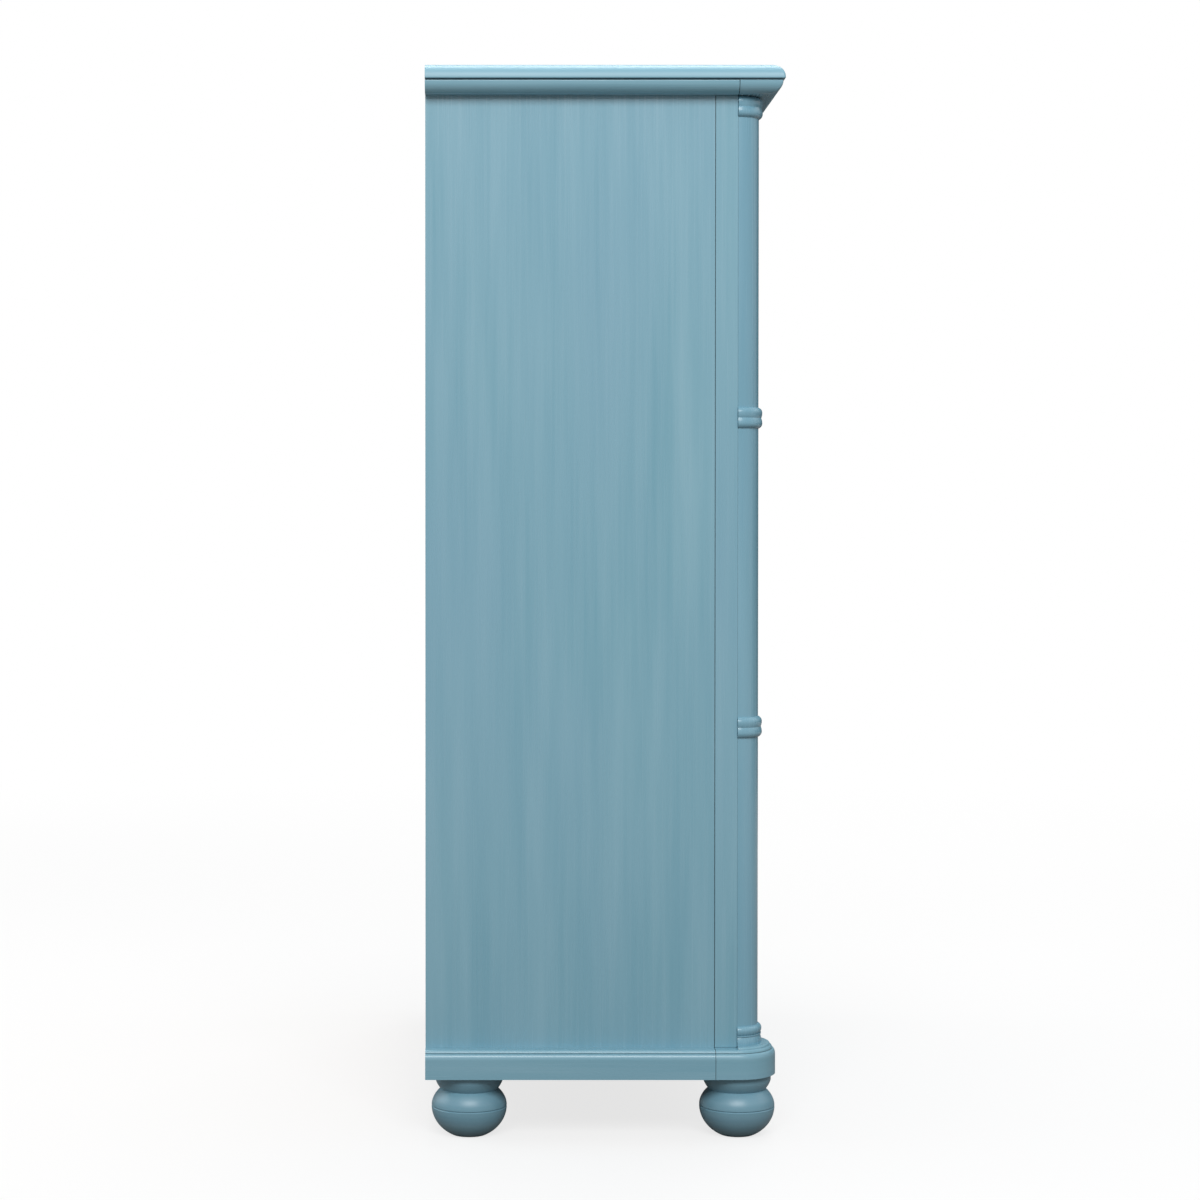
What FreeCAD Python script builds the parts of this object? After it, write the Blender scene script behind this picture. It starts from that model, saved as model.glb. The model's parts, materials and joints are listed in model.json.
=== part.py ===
"""Door chest: two framed doors over two drawers, split columns, moulded base and bun feet.

All sizes are in millimetres. Z is up, the front faces -Y, and the origin is at floor level under the
middle of the outline.
"""
import FreeCAD
import Part
import math
import os

V = FreeCAD.Vector

# Overall size
WIDTH = 1016.0
DEPTH = 508.0
HEIGHT = 1524.0

# Top board and cornice
TOP_T = 21.0
TOP_ROUND = 19.0
TOP_EASE = 1.5
TOP_REACH = 64.0
TOP_STEP = 3.0
CORNICE_T = 20.0
CORNICE_ROUND = 18.0
CORNICE_GAP_D = 4.0

# Split columns
COLUMN_R = 32.0
RING_R = 37.5
RING_CREASE_R = 36.0
RING_PAIR_H = 30.0
RING_PAIRS = 4

# Case
POST_W = 80.0
POST_T = 32.0
PANEL_T = 19.0
JOINT_CHAMFER = 0.5
JOINT_GAP_W = 0.9
JOINT_GAP_D = 3.0
BACK_T = 6.0
BACK_LAP = 9.5
BACK_SET = 1.0
BACK_PLAY = 0.5
BOARD_T = 18.0

# Base moulding
PLINTH_R = 57.0
BAND_H = 36.0
BAND_ROUND_H = 8.5
BASE_STEP = 4.4
BEAD_RISE = 0.6
BEAD_R = 4.6
BASE_FRONT_REACH = 16.0
BASE_REAR_T = 16.0

# Bun feet
FRONT_FOOT_OUT = 2.5
FOOT_R = 54.0
FOOT_PAD_R = 25.0
FOOT_EQUATOR_Z = 41.2
FOOT_RISE = 37.6
FOOT_GROOVE = 1.3
FOOT_NECK_R = 41.0
FOOT_COLLAR_R = 48.6
FOOT_COVE_H = 13.5
FOOT_BAND_H = 9.7
FOOT_TENON_R = 10.0
FOOT_TENON_H = 17.0
REAR_FOOT_INSET = 62.0
REAR_BLOCK_W = 80.0
REAR_BLOCK_D = 92.0

# Face frame
RAIL_H = 30.0
DRAWER_RAIL_H = 20.0
STOP_PLAY = 0.3

# Doors
DOOR_T = 20.0
DOOR_GAP = 2.5
HINGE_GAP = 3.0
MEETING_GAP = 3.0
STILE_W = 60.0
DOOR_TOP_RAIL_H = 60.0
DOOR_BOTTOM_RAIL_H = 75.0
STICK_R = 6.0
STICK_LIP = 2.0
PANEL_GROOVE_T = 6.2
PANEL_GROOVE_D = 9.0
PANEL_PLAY = 0.5
PANEL_SKIN = 0.1
PANEL_MARGIN = 2.0
PANEL_BEVEL_W = 36.0
PANEL_BEVEL_H = 4.6
PANEL_STEP = 1.5

# Hinges
HINGES_PER_DOOR = 3
HINGE_H = 64.0
HINGE_END = 90.0
LEAF_T = 1.2
LEAF_W = 17.0
KNUCKLE_R = 3.2
KNUCKLE_PLAY = 0.3
PIN_R = 1.6
PIN_PLAY = 0.05
PIN_CAP_R = 2.7
PIN_CAP_H = 2.4

# Door stop and magnets
DOOR_STOP_T = 16.0
DOOR_STOP_DROP = 16.0
MAGNET_R = 4.0
MAGNET_H = 10.0
MAGNET_INSET = 40.0
STRIKE_R = 5.0
STRIKE_T = 1.5
STRIKE_DROP = 7.0
ROUND_FIT = 0.05

# Shelves
SHELF_PLAY = 1.0
SHELF_SETBACK = 14.0
SHELF_PIN_R = 2.5
SHELF_PIN_IN = 9.0
SHELF_PIN_OUT = 8.0
SHELF_PIN_INSET = 45.0
SHELF_HOLE_PITCH = 32.0

# Drawers
DRAWER_GAP = 2.0
DRAWER_FRONT_T = 20.0
DRAWER_FRONT_ROUND = 3.0
DRAWER_LAP = 7.0
DRAWER_SIDE_T = 12.5
DRAWER_HEADROOM = 28.0
DRAWER_BACK_ROOM = 30.0
DRAWER_BOTTOM_T = 6.0
DRAWER_BOTTOM_LIFT = 10.0
DRAWER_BOTTOM_IN = 6.0
DRAWER_BOTTOM_PLAY = 0.2
RUNNER_T = 20.0
RUNNER_LEDGE = 26.0
RUNNER_PLAY = 0.3
GUIDE_H = 28.0
TAILS = 4
TAIL_SHARE = 0.58
TAIL_SLOPE = 1.0 / 7.0

# Knobs
KNOB_R = 16.0
KNOB_H = 27.0
KNOB_RIM_H = 2.0
KNOB_FOOT_R = 11.0
KNOB_FOOT_H = 2.5
KNOB_NECK_R = 6.0
KNOB_STUD_R = 3.0
KNOB_STUD_H = 13.0
DOOR_KNOB_DROP = 430.0
DRAWER_KNOB_X = 200.0

# Heights, from the floor up
FOOT_DROP = FOOT_EQUATOR_Z / math.sqrt(1.0 - (FOOT_PAD_R / FOOT_R) ** 2)
NECK_Z = FOOT_EQUATOR_Z + FOOT_RISE * math.sqrt(1.0 - (FOOT_NECK_R / FOOT_R) ** 2)
FOOT_H = NECK_Z + FOOT_COVE_H + FOOT_BAND_H
BASE_H = BAND_H + BEAD_RISE + BEAD_R
CASE_Z = FOOT_H + BASE_H
TOP_Z = HEIGHT - TOP_T
CORNICE_Z = TOP_Z - CORNICE_T

# Plan, from the outline inwards
SIDE_X = WIDTH / 2 - (TOP_REACH - COLUMN_R)
INNER_X = SIDE_X - PANEL_T
COLUMN_X = SIDE_X - COLUMN_R
OPENING_X = SIDE_X - POST_W
CORNICE_X = WIDTH / 2 - TOP_STEP
FRONT_Y = -DEPTH / 2
BACK_Y = DEPTH / 2
CORNICE_Y = FRONT_Y + TOP_STEP
FACE_Y = FRONT_Y + TOP_REACH
POST_BACK_Y = FACE_Y + POST_T
RAIL_BACK_Y = FACE_Y + DOOR_T + STOP_PLAY
BACK_PANEL_Y = BACK_Y - BACK_SET - BACK_T
REAR_FOOT_Y = BACK_Y - REAR_FOOT_INSET
FRONT_FOOT_Y = FACE_Y - FRONT_FOOT_OUT

# Ring pairs stand at both ends of a column and at even steps between
RING_PITCH = (CORNICE_Z - CASE_Z - RING_PAIR_H) / (RING_PAIRS - 1)
RING_ZS = [CASE_Z + RING_PAIR_H / 2 + i * RING_PITCH for i in range(RING_PAIRS)]

# Openings of the face frame: the rails are level with the ring pairs
DOOR_OPEN_Z0 = RING_ZS[1] + RAIL_H / 2
DOOR_OPEN_Z1 = CORNICE_Z - RAIL_H
LOWER_OPEN_Z0 = CASE_Z + RAIL_H
DRAWER_OPEN_H = (RING_ZS[1] - RAIL_H / 2 - LOWER_OPEN_Z0 - DRAWER_RAIL_H) / 2
DRAWER_RAIL_Z = LOWER_OPEN_Z0 + DRAWER_OPEN_H
UPPER_OPEN_Z0 = DRAWER_RAIL_Z + DRAWER_RAIL_H

nodes = {}


def box(x0, x1, y0, y1, z0, z1):
    """A block between two corners."""
    return Part.makeBox(x1 - x0, y1 - y0, z1 - z0, V(x0, y0, z0))


def rod(radius, start, end):
    """A round rod between two points."""
    way = V(*end) - V(*start)
    return Part.makeCylinder(radius, way.Length, V(*start), way)


def mirrored(shape):
    """The same shape on the other side of the middle plane."""
    return shape.mirror(V(0, 0, 0), V(1, 0, 0))


def merged(first, *others):
    """Shapes joined into one solid without seams."""
    return first.multiFuse(list(others)).removeSplitter()


def group(shapes):
    """Separate solids kept together in one node."""
    return Part.makeCompound(shapes)


def add_pair(name, left):
    """A left piece and its mirrored right piece."""
    nodes[name + "_left"] = left
    nodes[name + "_right"] = mirrored(left)


def arc(cx, cy, rx, ry, start, end):
    """Middle and end point of an arc step; rx and ry differ for a flattened round."""
    middle = math.radians((start + end) / 2)
    last = math.radians(end)
    return (
        (cx + rx * math.cos(middle), cy + ry * math.sin(middle)),
        (cx + rx * math.cos(last), cy + ry * math.sin(last)),
    )


def outline(start, *steps):
    """A flat closed face. A step is a point, a middle and an end point of an arc, or a ready edge."""
    edges = []
    here = V(start[0], start[1], 0)
    for step in steps + (start,):
        if isinstance(step, Part.Edge):
            edges.append(step)
            here = step.valueAt(step.LastParameter)
            continue
        if isinstance(step[0], tuple):
            middle = V(step[0][0], step[0][1], 0)
            end = V(step[1][0], step[1][1], 0)
            edges.append(Part.Arc(here, middle, end).toShape())
        else:
            end = V(step[0], step[1], 0)
            if here.distanceToPoint(end) < 1e-6:
                continue
            edges.append(Part.LineSegment(here, end).toShape())
        here = end
    return Part.Face(Part.Wire(edges))


def along_y(face, y0, y1):
    """A profile drawn in X and Z, run from y0 to y1."""
    flat = face.copy()
    flat.rotate(V(0, 0, 0), V(1, 0, 0), 90)
    flat.translate(V(0, y0, 0))
    return flat.extrude(V(0, y1 - y0, 0))


def along_x(face, x0, x1):
    """A profile drawn in Y and Z, run from x0 to x1."""
    flat = face.copy()
    flat.rotate(V(0, 0, 0), V(1, 0, 0), 90)
    flat.rotate(V(0, 0, 0), V(0, 0, 1), 90)
    flat.translate(V(x0, 0, 0))
    return flat.extrude(V(x1 - x0, 0, 0))


def along_z(face, z0, z1):
    """A plan drawn in X and Y, run from z0 to z1."""
    flat = face.copy()
    flat.translate(V(0, 0, z0))
    return flat.extrude(V(0, 0, z1 - z0))


def turned(face, x, y, angle=360):
    """A profile drawn in radius and Z, turned about an upright axis; half a turn faces the front."""
    flat = face.copy()
    flat.rotate(V(0, 0, 0), V(1, 0, 0), 90)
    solid = flat.revolve(V(0, 0, 0), V(0, 0, -1), angle)
    solid.translate(V(x, y, 0))
    return solid


def top_outline(inner, outer):
    """Section of the top board, rounded over at the outer edge."""
    s = 1 if outer > inner else -1
    turn = 0 if s > 0 else 180
    return outline(
        (inner, TOP_Z),
        (outer - s * TOP_EASE, TOP_Z),
        arc(outer - s * TOP_EASE, TOP_Z + TOP_EASE, TOP_EASE, TOP_EASE, 270, 270 + s * 90),
        (outer, HEIGHT - TOP_ROUND),
        arc(outer - s * TOP_ROUND, HEIGHT - TOP_ROUND, TOP_ROUND, TOP_ROUND, turn, turn + s * 90),
        (inner, HEIGHT),
    )


def cornice_outline(inner, outer):
    """Section of the cornice, a quarter round with a shadow gap above it."""
    s = 1 if outer > inner else -1
    centre_z = CORNICE_Z + CORNICE_ROUND
    return outline(
        (inner, CORNICE_Z),
        (outer - s * CORNICE_ROUND, CORNICE_Z),
        arc(outer - s * CORNICE_ROUND, centre_z, CORNICE_ROUND, CORNICE_ROUND, 270, 270 + s * 90),
        (outer - s * CORNICE_GAP_D, centre_z),
        (outer - s * CORNICE_GAP_D, TOP_Z),
        (inner, TOP_Z),
    )


def base_outline(inner, outer):
    """Section of the base moulding: a plain band with a rounded shoulder and a bead above it."""
    s = 1 if outer > inner else -1
    turn = 0 if s > 0 else 180
    shoulder = FOOT_H + BAND_H - BAND_ROUND_H
    bead = outer - s * BASE_STEP
    bead_z = FOOT_H + BAND_H + BEAD_RISE
    return outline(
        (inner, FOOT_H),
        (outer, FOOT_H),
        (outer, shoulder),
        arc(bead, shoulder, BASE_STEP, BAND_ROUND_H, turn, turn + s * 90),
        (bead, bead_z),
        arc(bead - s * BEAD_R, bead_z, BEAD_R, BEAD_R, turn, turn + s * 90),
        (inner, CASE_Z),
    )


def make_top():
    """Top board, cornice and the panel between the cornice boards."""
    across = along_x(top_outline(BACK_Y, FRONT_Y), -WIDTH / 2, WIDTH / 2)
    left_half = along_y(top_outline(0, -WIDTH / 2), FRONT_Y, BACK_Y)
    ends = merged(left_half, mirrored(left_half))
    nodes["top_board"] = across.common(ends)

    across = along_x(cornice_outline(FACE_Y, CORNICE_Y), -CORNICE_X, CORNICE_X)
    left_half = along_y(cornice_outline(0, -CORNICE_X), CORNICE_Y, FACE_Y)
    ends = merged(left_half, mirrored(left_half))
    nodes["cornice_front"] = across.common(ends)
    add_pair("cornice", along_y(cornice_outline(-INNER_X, -CORNICE_X), FACE_Y, BACK_Y))
    nodes["sub_top"] = box(-INNER_X, INNER_X, FACE_Y, BACK_Y, CORNICE_Z, TOP_Z)


def shelf_levels():
    """Underside heights of the two shelves, which split the door compartment in three."""
    clear = (CORNICE_Z - DOOR_OPEN_Z0 - 2 * BOARD_T) / 3
    return [DOOR_OPEN_Z0 + clear, DOOR_OPEN_Z0 + 2 * clear + BOARD_T]


def shelf_pin_rows():
    """Places of the front and rear shelf pins along the depth."""
    return [POST_BACK_Y + SHELF_PIN_INSET, BACK_PANEL_Y - SHELF_PIN_INSET]


def make_sides():
    """Side panels, front posts and the split columns on them."""
    panel = along_z(
        outline(
            (-SIDE_X + JOINT_GAP_D, POST_BACK_Y),
            (-INNER_X, POST_BACK_Y),
            (-INNER_X, BACK_PANEL_Y),
            (-INNER_X - BACK_LAP, BACK_PANEL_Y),
            (-INNER_X - BACK_LAP, BACK_Y),
            (-SIDE_X, BACK_Y),
            (-SIDE_X, POST_BACK_Y + JOINT_GAP_W),
            (-SIDE_X + JOINT_GAP_D, POST_BACK_Y + JOINT_GAP_W),
        ),
        FOOT_H,
        CORNICE_Z,
    )
    holes = []
    for level in shelf_levels():
        for y in shelf_pin_rows():
            for step in (-1, 0, 1):
                z = level - SHELF_PIN_R + step * SHELF_HOLE_PITCH
                deep = -INNER_X - SHELF_PIN_IN
                holes.append(rod(SHELF_PIN_R + ROUND_FIT, (deep, y, z), (-INNER_X, y, z)))
    add_pair("side_panel", panel.cut(group(holes)))

    post = along_z(
        outline(
            (-SIDE_X, FACE_Y),
            (-OPENING_X, FACE_Y),
            (-OPENING_X, POST_BACK_Y),
            (-SIDE_X + JOINT_CHAMFER, POST_BACK_Y),
            (-SIDE_X, POST_BACK_Y - JOINT_CHAMFER),
        ),
        CASE_Z,
        CORNICE_Z,
    )
    add_pair("post", post)
    add_pair("column", make_column())


def bead_arc(r_top, z_top, r_low, z_low):
    """Middle point of an arc that stands upright at its fullest point and ends lower on the bead."""
    rise = z_low - z_top
    fall = r_top - r_low
    radius = (rise ** 2 + fall ** 2) / (2 * fall)
    half = math.asin(rise / radius) / 2
    return (r_top - radius + radius * math.cos(half), z_top + radius * math.sin(half))


def make_column():
    """A half-round turning with a pair of rings at each ring height."""
    steps = [(COLUMN_R, CASE_Z)]
    for z in RING_ZS:
        low = z - RING_PAIR_H / 2
        low_full = z - RING_PAIR_H / 4
        high_full = z + RING_PAIR_H / 4
        high = z + RING_PAIR_H / 2
        steps.append((COLUMN_R, low))
        steps.append((bead_arc(RING_R, low_full, COLUMN_R, low), (RING_R, low_full)))
        steps.append((bead_arc(RING_R, low_full, RING_CREASE_R, z), (RING_CREASE_R, z)))
        steps.append((bead_arc(RING_R, high_full, RING_CREASE_R, z), (RING_R, high_full)))
        steps.append((bead_arc(RING_R, high_full, COLUMN_R, high), (COLUMN_R, high)))
    steps.append((0, CORNICE_Z))
    return turned(outline((0, CASE_Z), *steps), -COLUMN_X, FACE_Y, 180)


def make_base():
    """Plinths, base boards and the blocks for the rear feet."""
    round_end = turned(base_outline(0, PLINTH_R), -COLUMN_X, FACE_Y, 180)
    outer_half = along_y(base_outline(0, -PLINTH_R), FACE_Y, POST_BACK_Y)
    inner_half = mirrored(outer_half)
    outer_half.translate(V(-COLUMN_X, 0, 0))
    inner_half.translate(V(-COLUMN_X, 0, 0))
    block = merged(round_end, outer_half, inner_half)
    socket = rod(
        FOOT_TENON_R + ROUND_FIT,
        (-COLUMN_X, FRONT_FOOT_Y, FOOT_H),
        (-COLUMN_X, FRONT_FOOT_Y, FOOT_H + FOOT_TENON_H + 1),
    )
    plinth = block.cut(socket)
    add_pair("plinth", plinth)

    outer_x = -COLUMN_X - PLINTH_R
    add_pair("base", along_y(base_outline(-SIDE_X, outer_x), POST_BACK_Y, BACK_Y))
    across = along_x(base_outline(POST_BACK_Y, FACE_Y - BASE_FRONT_REACH), -COLUMN_X, COLUMN_X)
    nodes["base_front"] = across.cut(block).cut(mirrored(block))

    bottom_z = CASE_Z - BOARD_T
    rear_y = BACK_Y - BASE_REAR_T
    nodes["base_rear"] = box(-INNER_X, INNER_X, rear_y, BACK_Y, FOOT_H, bottom_z)
    corner = box(-INNER_X, -INNER_X + REAR_BLOCK_W, rear_y - REAR_BLOCK_D, rear_y, FOOT_H, bottom_z)
    socket = rod(
        FOOT_TENON_R + ROUND_FIT,
        (-COLUMN_X, REAR_FOOT_Y, FOOT_H),
        (-COLUMN_X, REAR_FOOT_Y, FOOT_H + FOOT_TENON_H + 1),
    )
    corner = corner.cut(socket)
    nodes["rear_foot_blocks"] = group([corner, mirrored(corner)])
    nodes["case_bottom"] = box(-INNER_X, INNER_X, POST_BACK_Y, BACK_PANEL_Y, bottom_z, CASE_Z)


def ellipse_edge(rx, ry, z, start, end):
    """Part of an ellipse about the axis, with its widest line at height z."""
    if rx >= ry:
        curve = Part.Ellipse(V(0, z, 0), rx, ry)
        return Part.ArcOfEllipse(curve, start, end).toShape()
    curve = Part.Ellipse(V(0, z + ry, 0), V(-rx, z, 0), V(0, z, 0))
    return Part.ArcOfEllipse(curve, start - math.pi / 2, end - math.pi / 2).toShape()


def make_feet():
    """Four turned bun feet, each with a groove on its widest line and a tenon on top."""
    lower_end = -math.asin(FOOT_GROOVE / FOOT_DROP)
    upper_start = math.asin(FOOT_GROOVE / FOOT_RISE)
    lower = ellipse_edge(FOOT_R, FOOT_DROP, FOOT_EQUATOR_Z, -math.asin(FOOT_EQUATOR_Z / FOOT_DROP), lower_end)
    upper = ellipse_edge(FOOT_R, FOOT_RISE, FOOT_EQUATOR_Z, upper_start, math.acos(FOOT_NECK_R / FOOT_R))
    first = upper.valueAt(upper.FirstParameter)
    cove_z = NECK_Z + FOOT_COVE_H
    swell = FOOT_COLLAR_R - FOOT_NECK_R
    face = outline(
        (0, 0),
        (FOOT_PAD_R, 0),
        lower,
        (FOOT_R - FOOT_GROOVE, FOOT_EQUATOR_Z),
        (first.x, first.y),
        upper,
        ((FOOT_NECK_R + 0.62 * swell, NECK_Z + 0.48 * FOOT_COVE_H), (FOOT_COLLAR_R, cove_z)),
        (FOOT_COLLAR_R, FOOT_H),
        (FOOT_TENON_R, FOOT_H),
        (FOOT_TENON_R, FOOT_H + FOOT_TENON_H),
        (0, FOOT_H + FOOT_TENON_H),
    )
    feet = []
    for x in (-COLUMN_X, COLUMN_X):
        for y in (FRONT_FOOT_Y, REAR_FOOT_Y):
            feet.append(turned(face, x, y))
    nodes["bun_feet"] = group(feet)


def make_face_frame():
    """Rails between the posts and the boards inside the case."""
    x = OPENING_X
    nodes["rail_top"] = box(-x, x, FACE_Y, RAIL_BACK_Y, DOOR_OPEN_Z1, CORNICE_Z)
    nodes["rail_middle"] = box(-x, x, FACE_Y, RAIL_BACK_Y, DOOR_OPEN_Z0 - RAIL_H, DOOR_OPEN_Z0)
    nodes["rail_drawers"] = box(-x, x, FACE_Y, RAIL_BACK_Y, DRAWER_RAIL_Z, UPPER_OPEN_Z0)
    nodes["rail_bottom"] = box(-x, x, FACE_Y, RAIL_BACK_Y, CASE_Z, LOWER_OPEN_Z0)

    floor_z = DOOR_OPEN_Z0 - BOARD_T
    between_sides = box(-INNER_X, INNER_X, POST_BACK_Y, BACK_PANEL_Y, floor_z, DOOR_OPEN_Z0)
    between_posts = box(-x, x, RAIL_BACK_Y, POST_BACK_Y, floor_z, DOOR_OPEN_Z0)
    nodes["cabinet_floor"] = merged(between_sides, between_posts)

    back_x = INNER_X + BACK_LAP - BACK_PLAY
    back_face = BACK_PANEL_Y + BACK_T
    nodes["back_panel"] = box(-back_x, back_x, BACK_PANEL_Y, back_face, CASE_Z - BOARD_T, CORNICE_Z)

    shelves = []
    pins = []
    shelf_x = INNER_X - SHELF_PLAY
    for z in shelf_levels():
        shelf_front = POST_BACK_Y + SHELF_SETBACK
        shelf_back = BACK_PANEL_Y - SHELF_PLAY
        shelves.append(box(-shelf_x, shelf_x, shelf_front, shelf_back, z, z + BOARD_T))
        for y in shelf_pin_rows():
            pin_z = z - SHELF_PIN_R
            start = (-INNER_X - SHELF_PIN_IN, y, pin_z)
            end = (-INNER_X + SHELF_PIN_OUT, y, pin_z)
            pin = rod(SHELF_PIN_R, start, end)
            pins.append(pin)
            pins.append(mirrored(pin))
    nodes["shelves"] = group(shelves)
    nodes["shelf_pins"] = group(pins)

    runners = []
    for z in (LOWER_OPEN_Z0, UPPER_OPEN_Z0):
        ledge = box(-INNER_X, -OPENING_X + RUNNER_LEDGE, POST_BACK_Y, BACK_PANEL_Y, z - RUNNER_T, z)
        guide = box(-INNER_X, -OPENING_X, POST_BACK_Y, BACK_PANEL_Y, z, z + GUIDE_H)
        runner = merged(ledge, guide)
        runners.append(runner)
        runners.append(mirrored(runner))
    nodes["drawer_runners"] = group(runners)

    stop_back = RAIL_BACK_Y + DOOR_STOP_T
    stop = box(-x, x, RAIL_BACK_Y, stop_back, DOOR_OPEN_Z1 - DOOR_STOP_DROP, CORNICE_Z)
    magnet_z = DOOR_OPEN_Z1 - DOOR_GAP - STRIKE_DROP
    start = (-MAGNET_INSET, RAIL_BACK_Y, magnet_z)
    end = (-MAGNET_INSET, RAIL_BACK_Y + MAGNET_H, magnet_z)
    hole = rod(MAGNET_R + ROUND_FIT, start, end)
    magnet = rod(MAGNET_R, start, end)
    nodes["door_stop"] = stop.cut(group([hole, mirrored(hole)]))
    nodes["door_magnets"] = group([magnet, mirrored(magnet)])


def make_knob(x, z):
    """A turned knob that points to the front, with its stud set into the wood."""
    neck_z = KNOB_H * 0.36
    full_z = KNOB_H * 0.62
    rim_z = full_z + KNOB_RIM_H
    cap_h = KNOB_H - rim_z
    cap_r = (KNOB_R ** 2 + cap_h ** 2) / (2 * cap_h)
    half = math.asin(KNOB_R / cap_r) / 2
    cap_middle = (cap_r * math.sin(half), KNOB_H - cap_r + cap_r * math.cos(half))
    face = outline(
        (0, -KNOB_STUD_H),
        (KNOB_STUD_R, -KNOB_STUD_H),
        (KNOB_STUD_R, 0),
        (KNOB_FOOT_R, 0),
        (KNOB_FOOT_R, KNOB_FOOT_H),
        ((KNOB_NECK_R + 1.2, KNOB_FOOT_H + (neck_z - KNOB_FOOT_H) * 0.3), (KNOB_NECK_R, neck_z)),
        ((KNOB_R * 0.82, neck_z + (full_z - neck_z) * 0.4), (KNOB_R, full_z)),
        (KNOB_R, rim_z),
        (cap_middle, (0, KNOB_H)),
    )
    knob = turned(face, 0, 0)
    knob.rotate(V(0, 0, 0), V(1, 0, 0), 90)
    knob.translate(V(x, FACE_Y, z))
    return knob


def knob_hole(x, z):
    """The hole for a knob's stud."""
    deep = FACE_Y + KNOB_STUD_H
    return rod(KNOB_STUD_R + ROUND_FIT, (x, FACE_Y, z), (x, deep, z))


def hinge_places():
    """Lower ends of the hinges, spread evenly over a door."""
    low = DOOR_OPEN_Z0 + HINGE_END
    high = DOOR_OPEN_Z1 - HINGE_END - HINGE_H
    step = (high - low) / (HINGES_PER_DOOR - 1)
    return [low + i * step for i in range(HINGES_PER_DOOR)]


HINGE_X = OPENING_X - HINGE_GAP / 2
HINGE_Y = FACE_Y - KNUCKLE_R


def hinge_leaf(z, plate_x0, plate_x1, own, others):
    """A plate with its knuckles; own and others are the knuckle spans of this leaf and of its mate."""
    leaf = box(plate_x0, plate_x1, HINGE_Y, FACE_Y + LEAF_W, z, z + HINGE_H)
    knuckles = [rod(KNUCKLE_R, (-HINGE_X, HINGE_Y, a), (-HINGE_X, HINGE_Y, b)) for a, b in own]
    room = KNUCKLE_R + KNUCKLE_PLAY
    cleared = leaf
    for a, b in others:
        cleared = cleared.cut(rod(room, (-HINGE_X, HINGE_Y, a), (-HINGE_X, HINGE_Y, b)))
    bore = rod(PIN_R + PIN_PLAY, (-HINGE_X, HINGE_Y, z - 1), (-HINGE_X, HINGE_Y, z + HINGE_H + 1))
    return merged(cleared, *knuckles).cut(bore)


def make_hinges():
    """Fixed leaves, door leaves and pins of the butt hinges on the left side."""
    fixed = []
    moving = []
    pins = []
    third = HINGE_H / 3
    half_play = KNUCKLE_PLAY / 2
    for z in hinge_places():
        end_spans = [(z, z + third - half_play), (z + 2 * third + half_play, z + HINGE_H)]
        middle_span = [(z + third + half_play, z + 2 * third - half_play)]
        end_room = [(z - 1, z + third + half_play), (z + 2 * third - half_play, z + HINGE_H + 1)]
        middle_room = [(z + third - half_play, z + 2 * third + half_play)]
        fixed.append(hinge_leaf(z, -OPENING_X, -OPENING_X + LEAF_T, end_spans, middle_room))
        door_edge = -OPENING_X + HINGE_GAP
        moving.append(hinge_leaf(z, door_edge - LEAF_T, door_edge, middle_span, end_room))
        shank = rod(PIN_R, (-HINGE_X, HINGE_Y, z - PIN_CAP_H), (-HINGE_X, HINGE_Y, z + HINGE_H + PIN_CAP_H))
        low_cap = rod(PIN_CAP_R, (-HINGE_X, HINGE_Y, z - PIN_CAP_H), (-HINGE_X, HINGE_Y, z))
        high = z + HINGE_H
        high_cap = rod(PIN_CAP_R, (-HINGE_X, HINGE_Y, high), (-HINGE_X, HINGE_Y, high + PIN_CAP_H))
        pins.append(merged(shank, low_cap, high_cap))
    nodes["frame_hinge_leaves"] = group(fixed + [mirrored(leaf) for leaf in fixed])
    nodes["hinge_pins"] = group(pins + [mirrored(pin) for pin in pins])
    nodes["left_door_hinge_leaves"] = group(moving)
    nodes["right_door_hinge_leaves"] = group([mirrored(leaf) for leaf in moving])


def stick_outline(outer, inner, flipped):
    """Section of a door frame member: rounded inner front edge and a groove for the panel.

    The outline runs across the member and through its thickness; flipped swaps the two.
    """
    s = 1 if inner > outer else -1
    front = FACE_Y
    back = FACE_Y + DOOR_T
    groove_front = front + STICK_R + STICK_LIP
    groove_back = groove_front + PANEL_GROOVE_T
    groove_end = inner - s * PANEL_GROOVE_D
    slope = STICK_R * math.sqrt(0.5)
    middle = (inner - s * STICK_R + s * slope, front + STICK_R - slope)
    points = [
        (inner - s * STICK_R, front),
        (middle, (inner, front + STICK_R)),
        (inner, groove_front),
        (groove_end, groove_front),
        (groove_end, groove_back),
        (inner, groove_back),
        (inner, back),
        (outer, back),
    ]
    start = (outer, front)
    if flipped:
        start = (start[1], start[0])
        points = [swap(point) for point in points]
    return outline(start, *points)


def swap(step):
    """A step with its two directions exchanged."""
    if isinstance(step[0], tuple):
        return (swap(step[0]), swap(step[1]))
    return (step[1], step[0])


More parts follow.
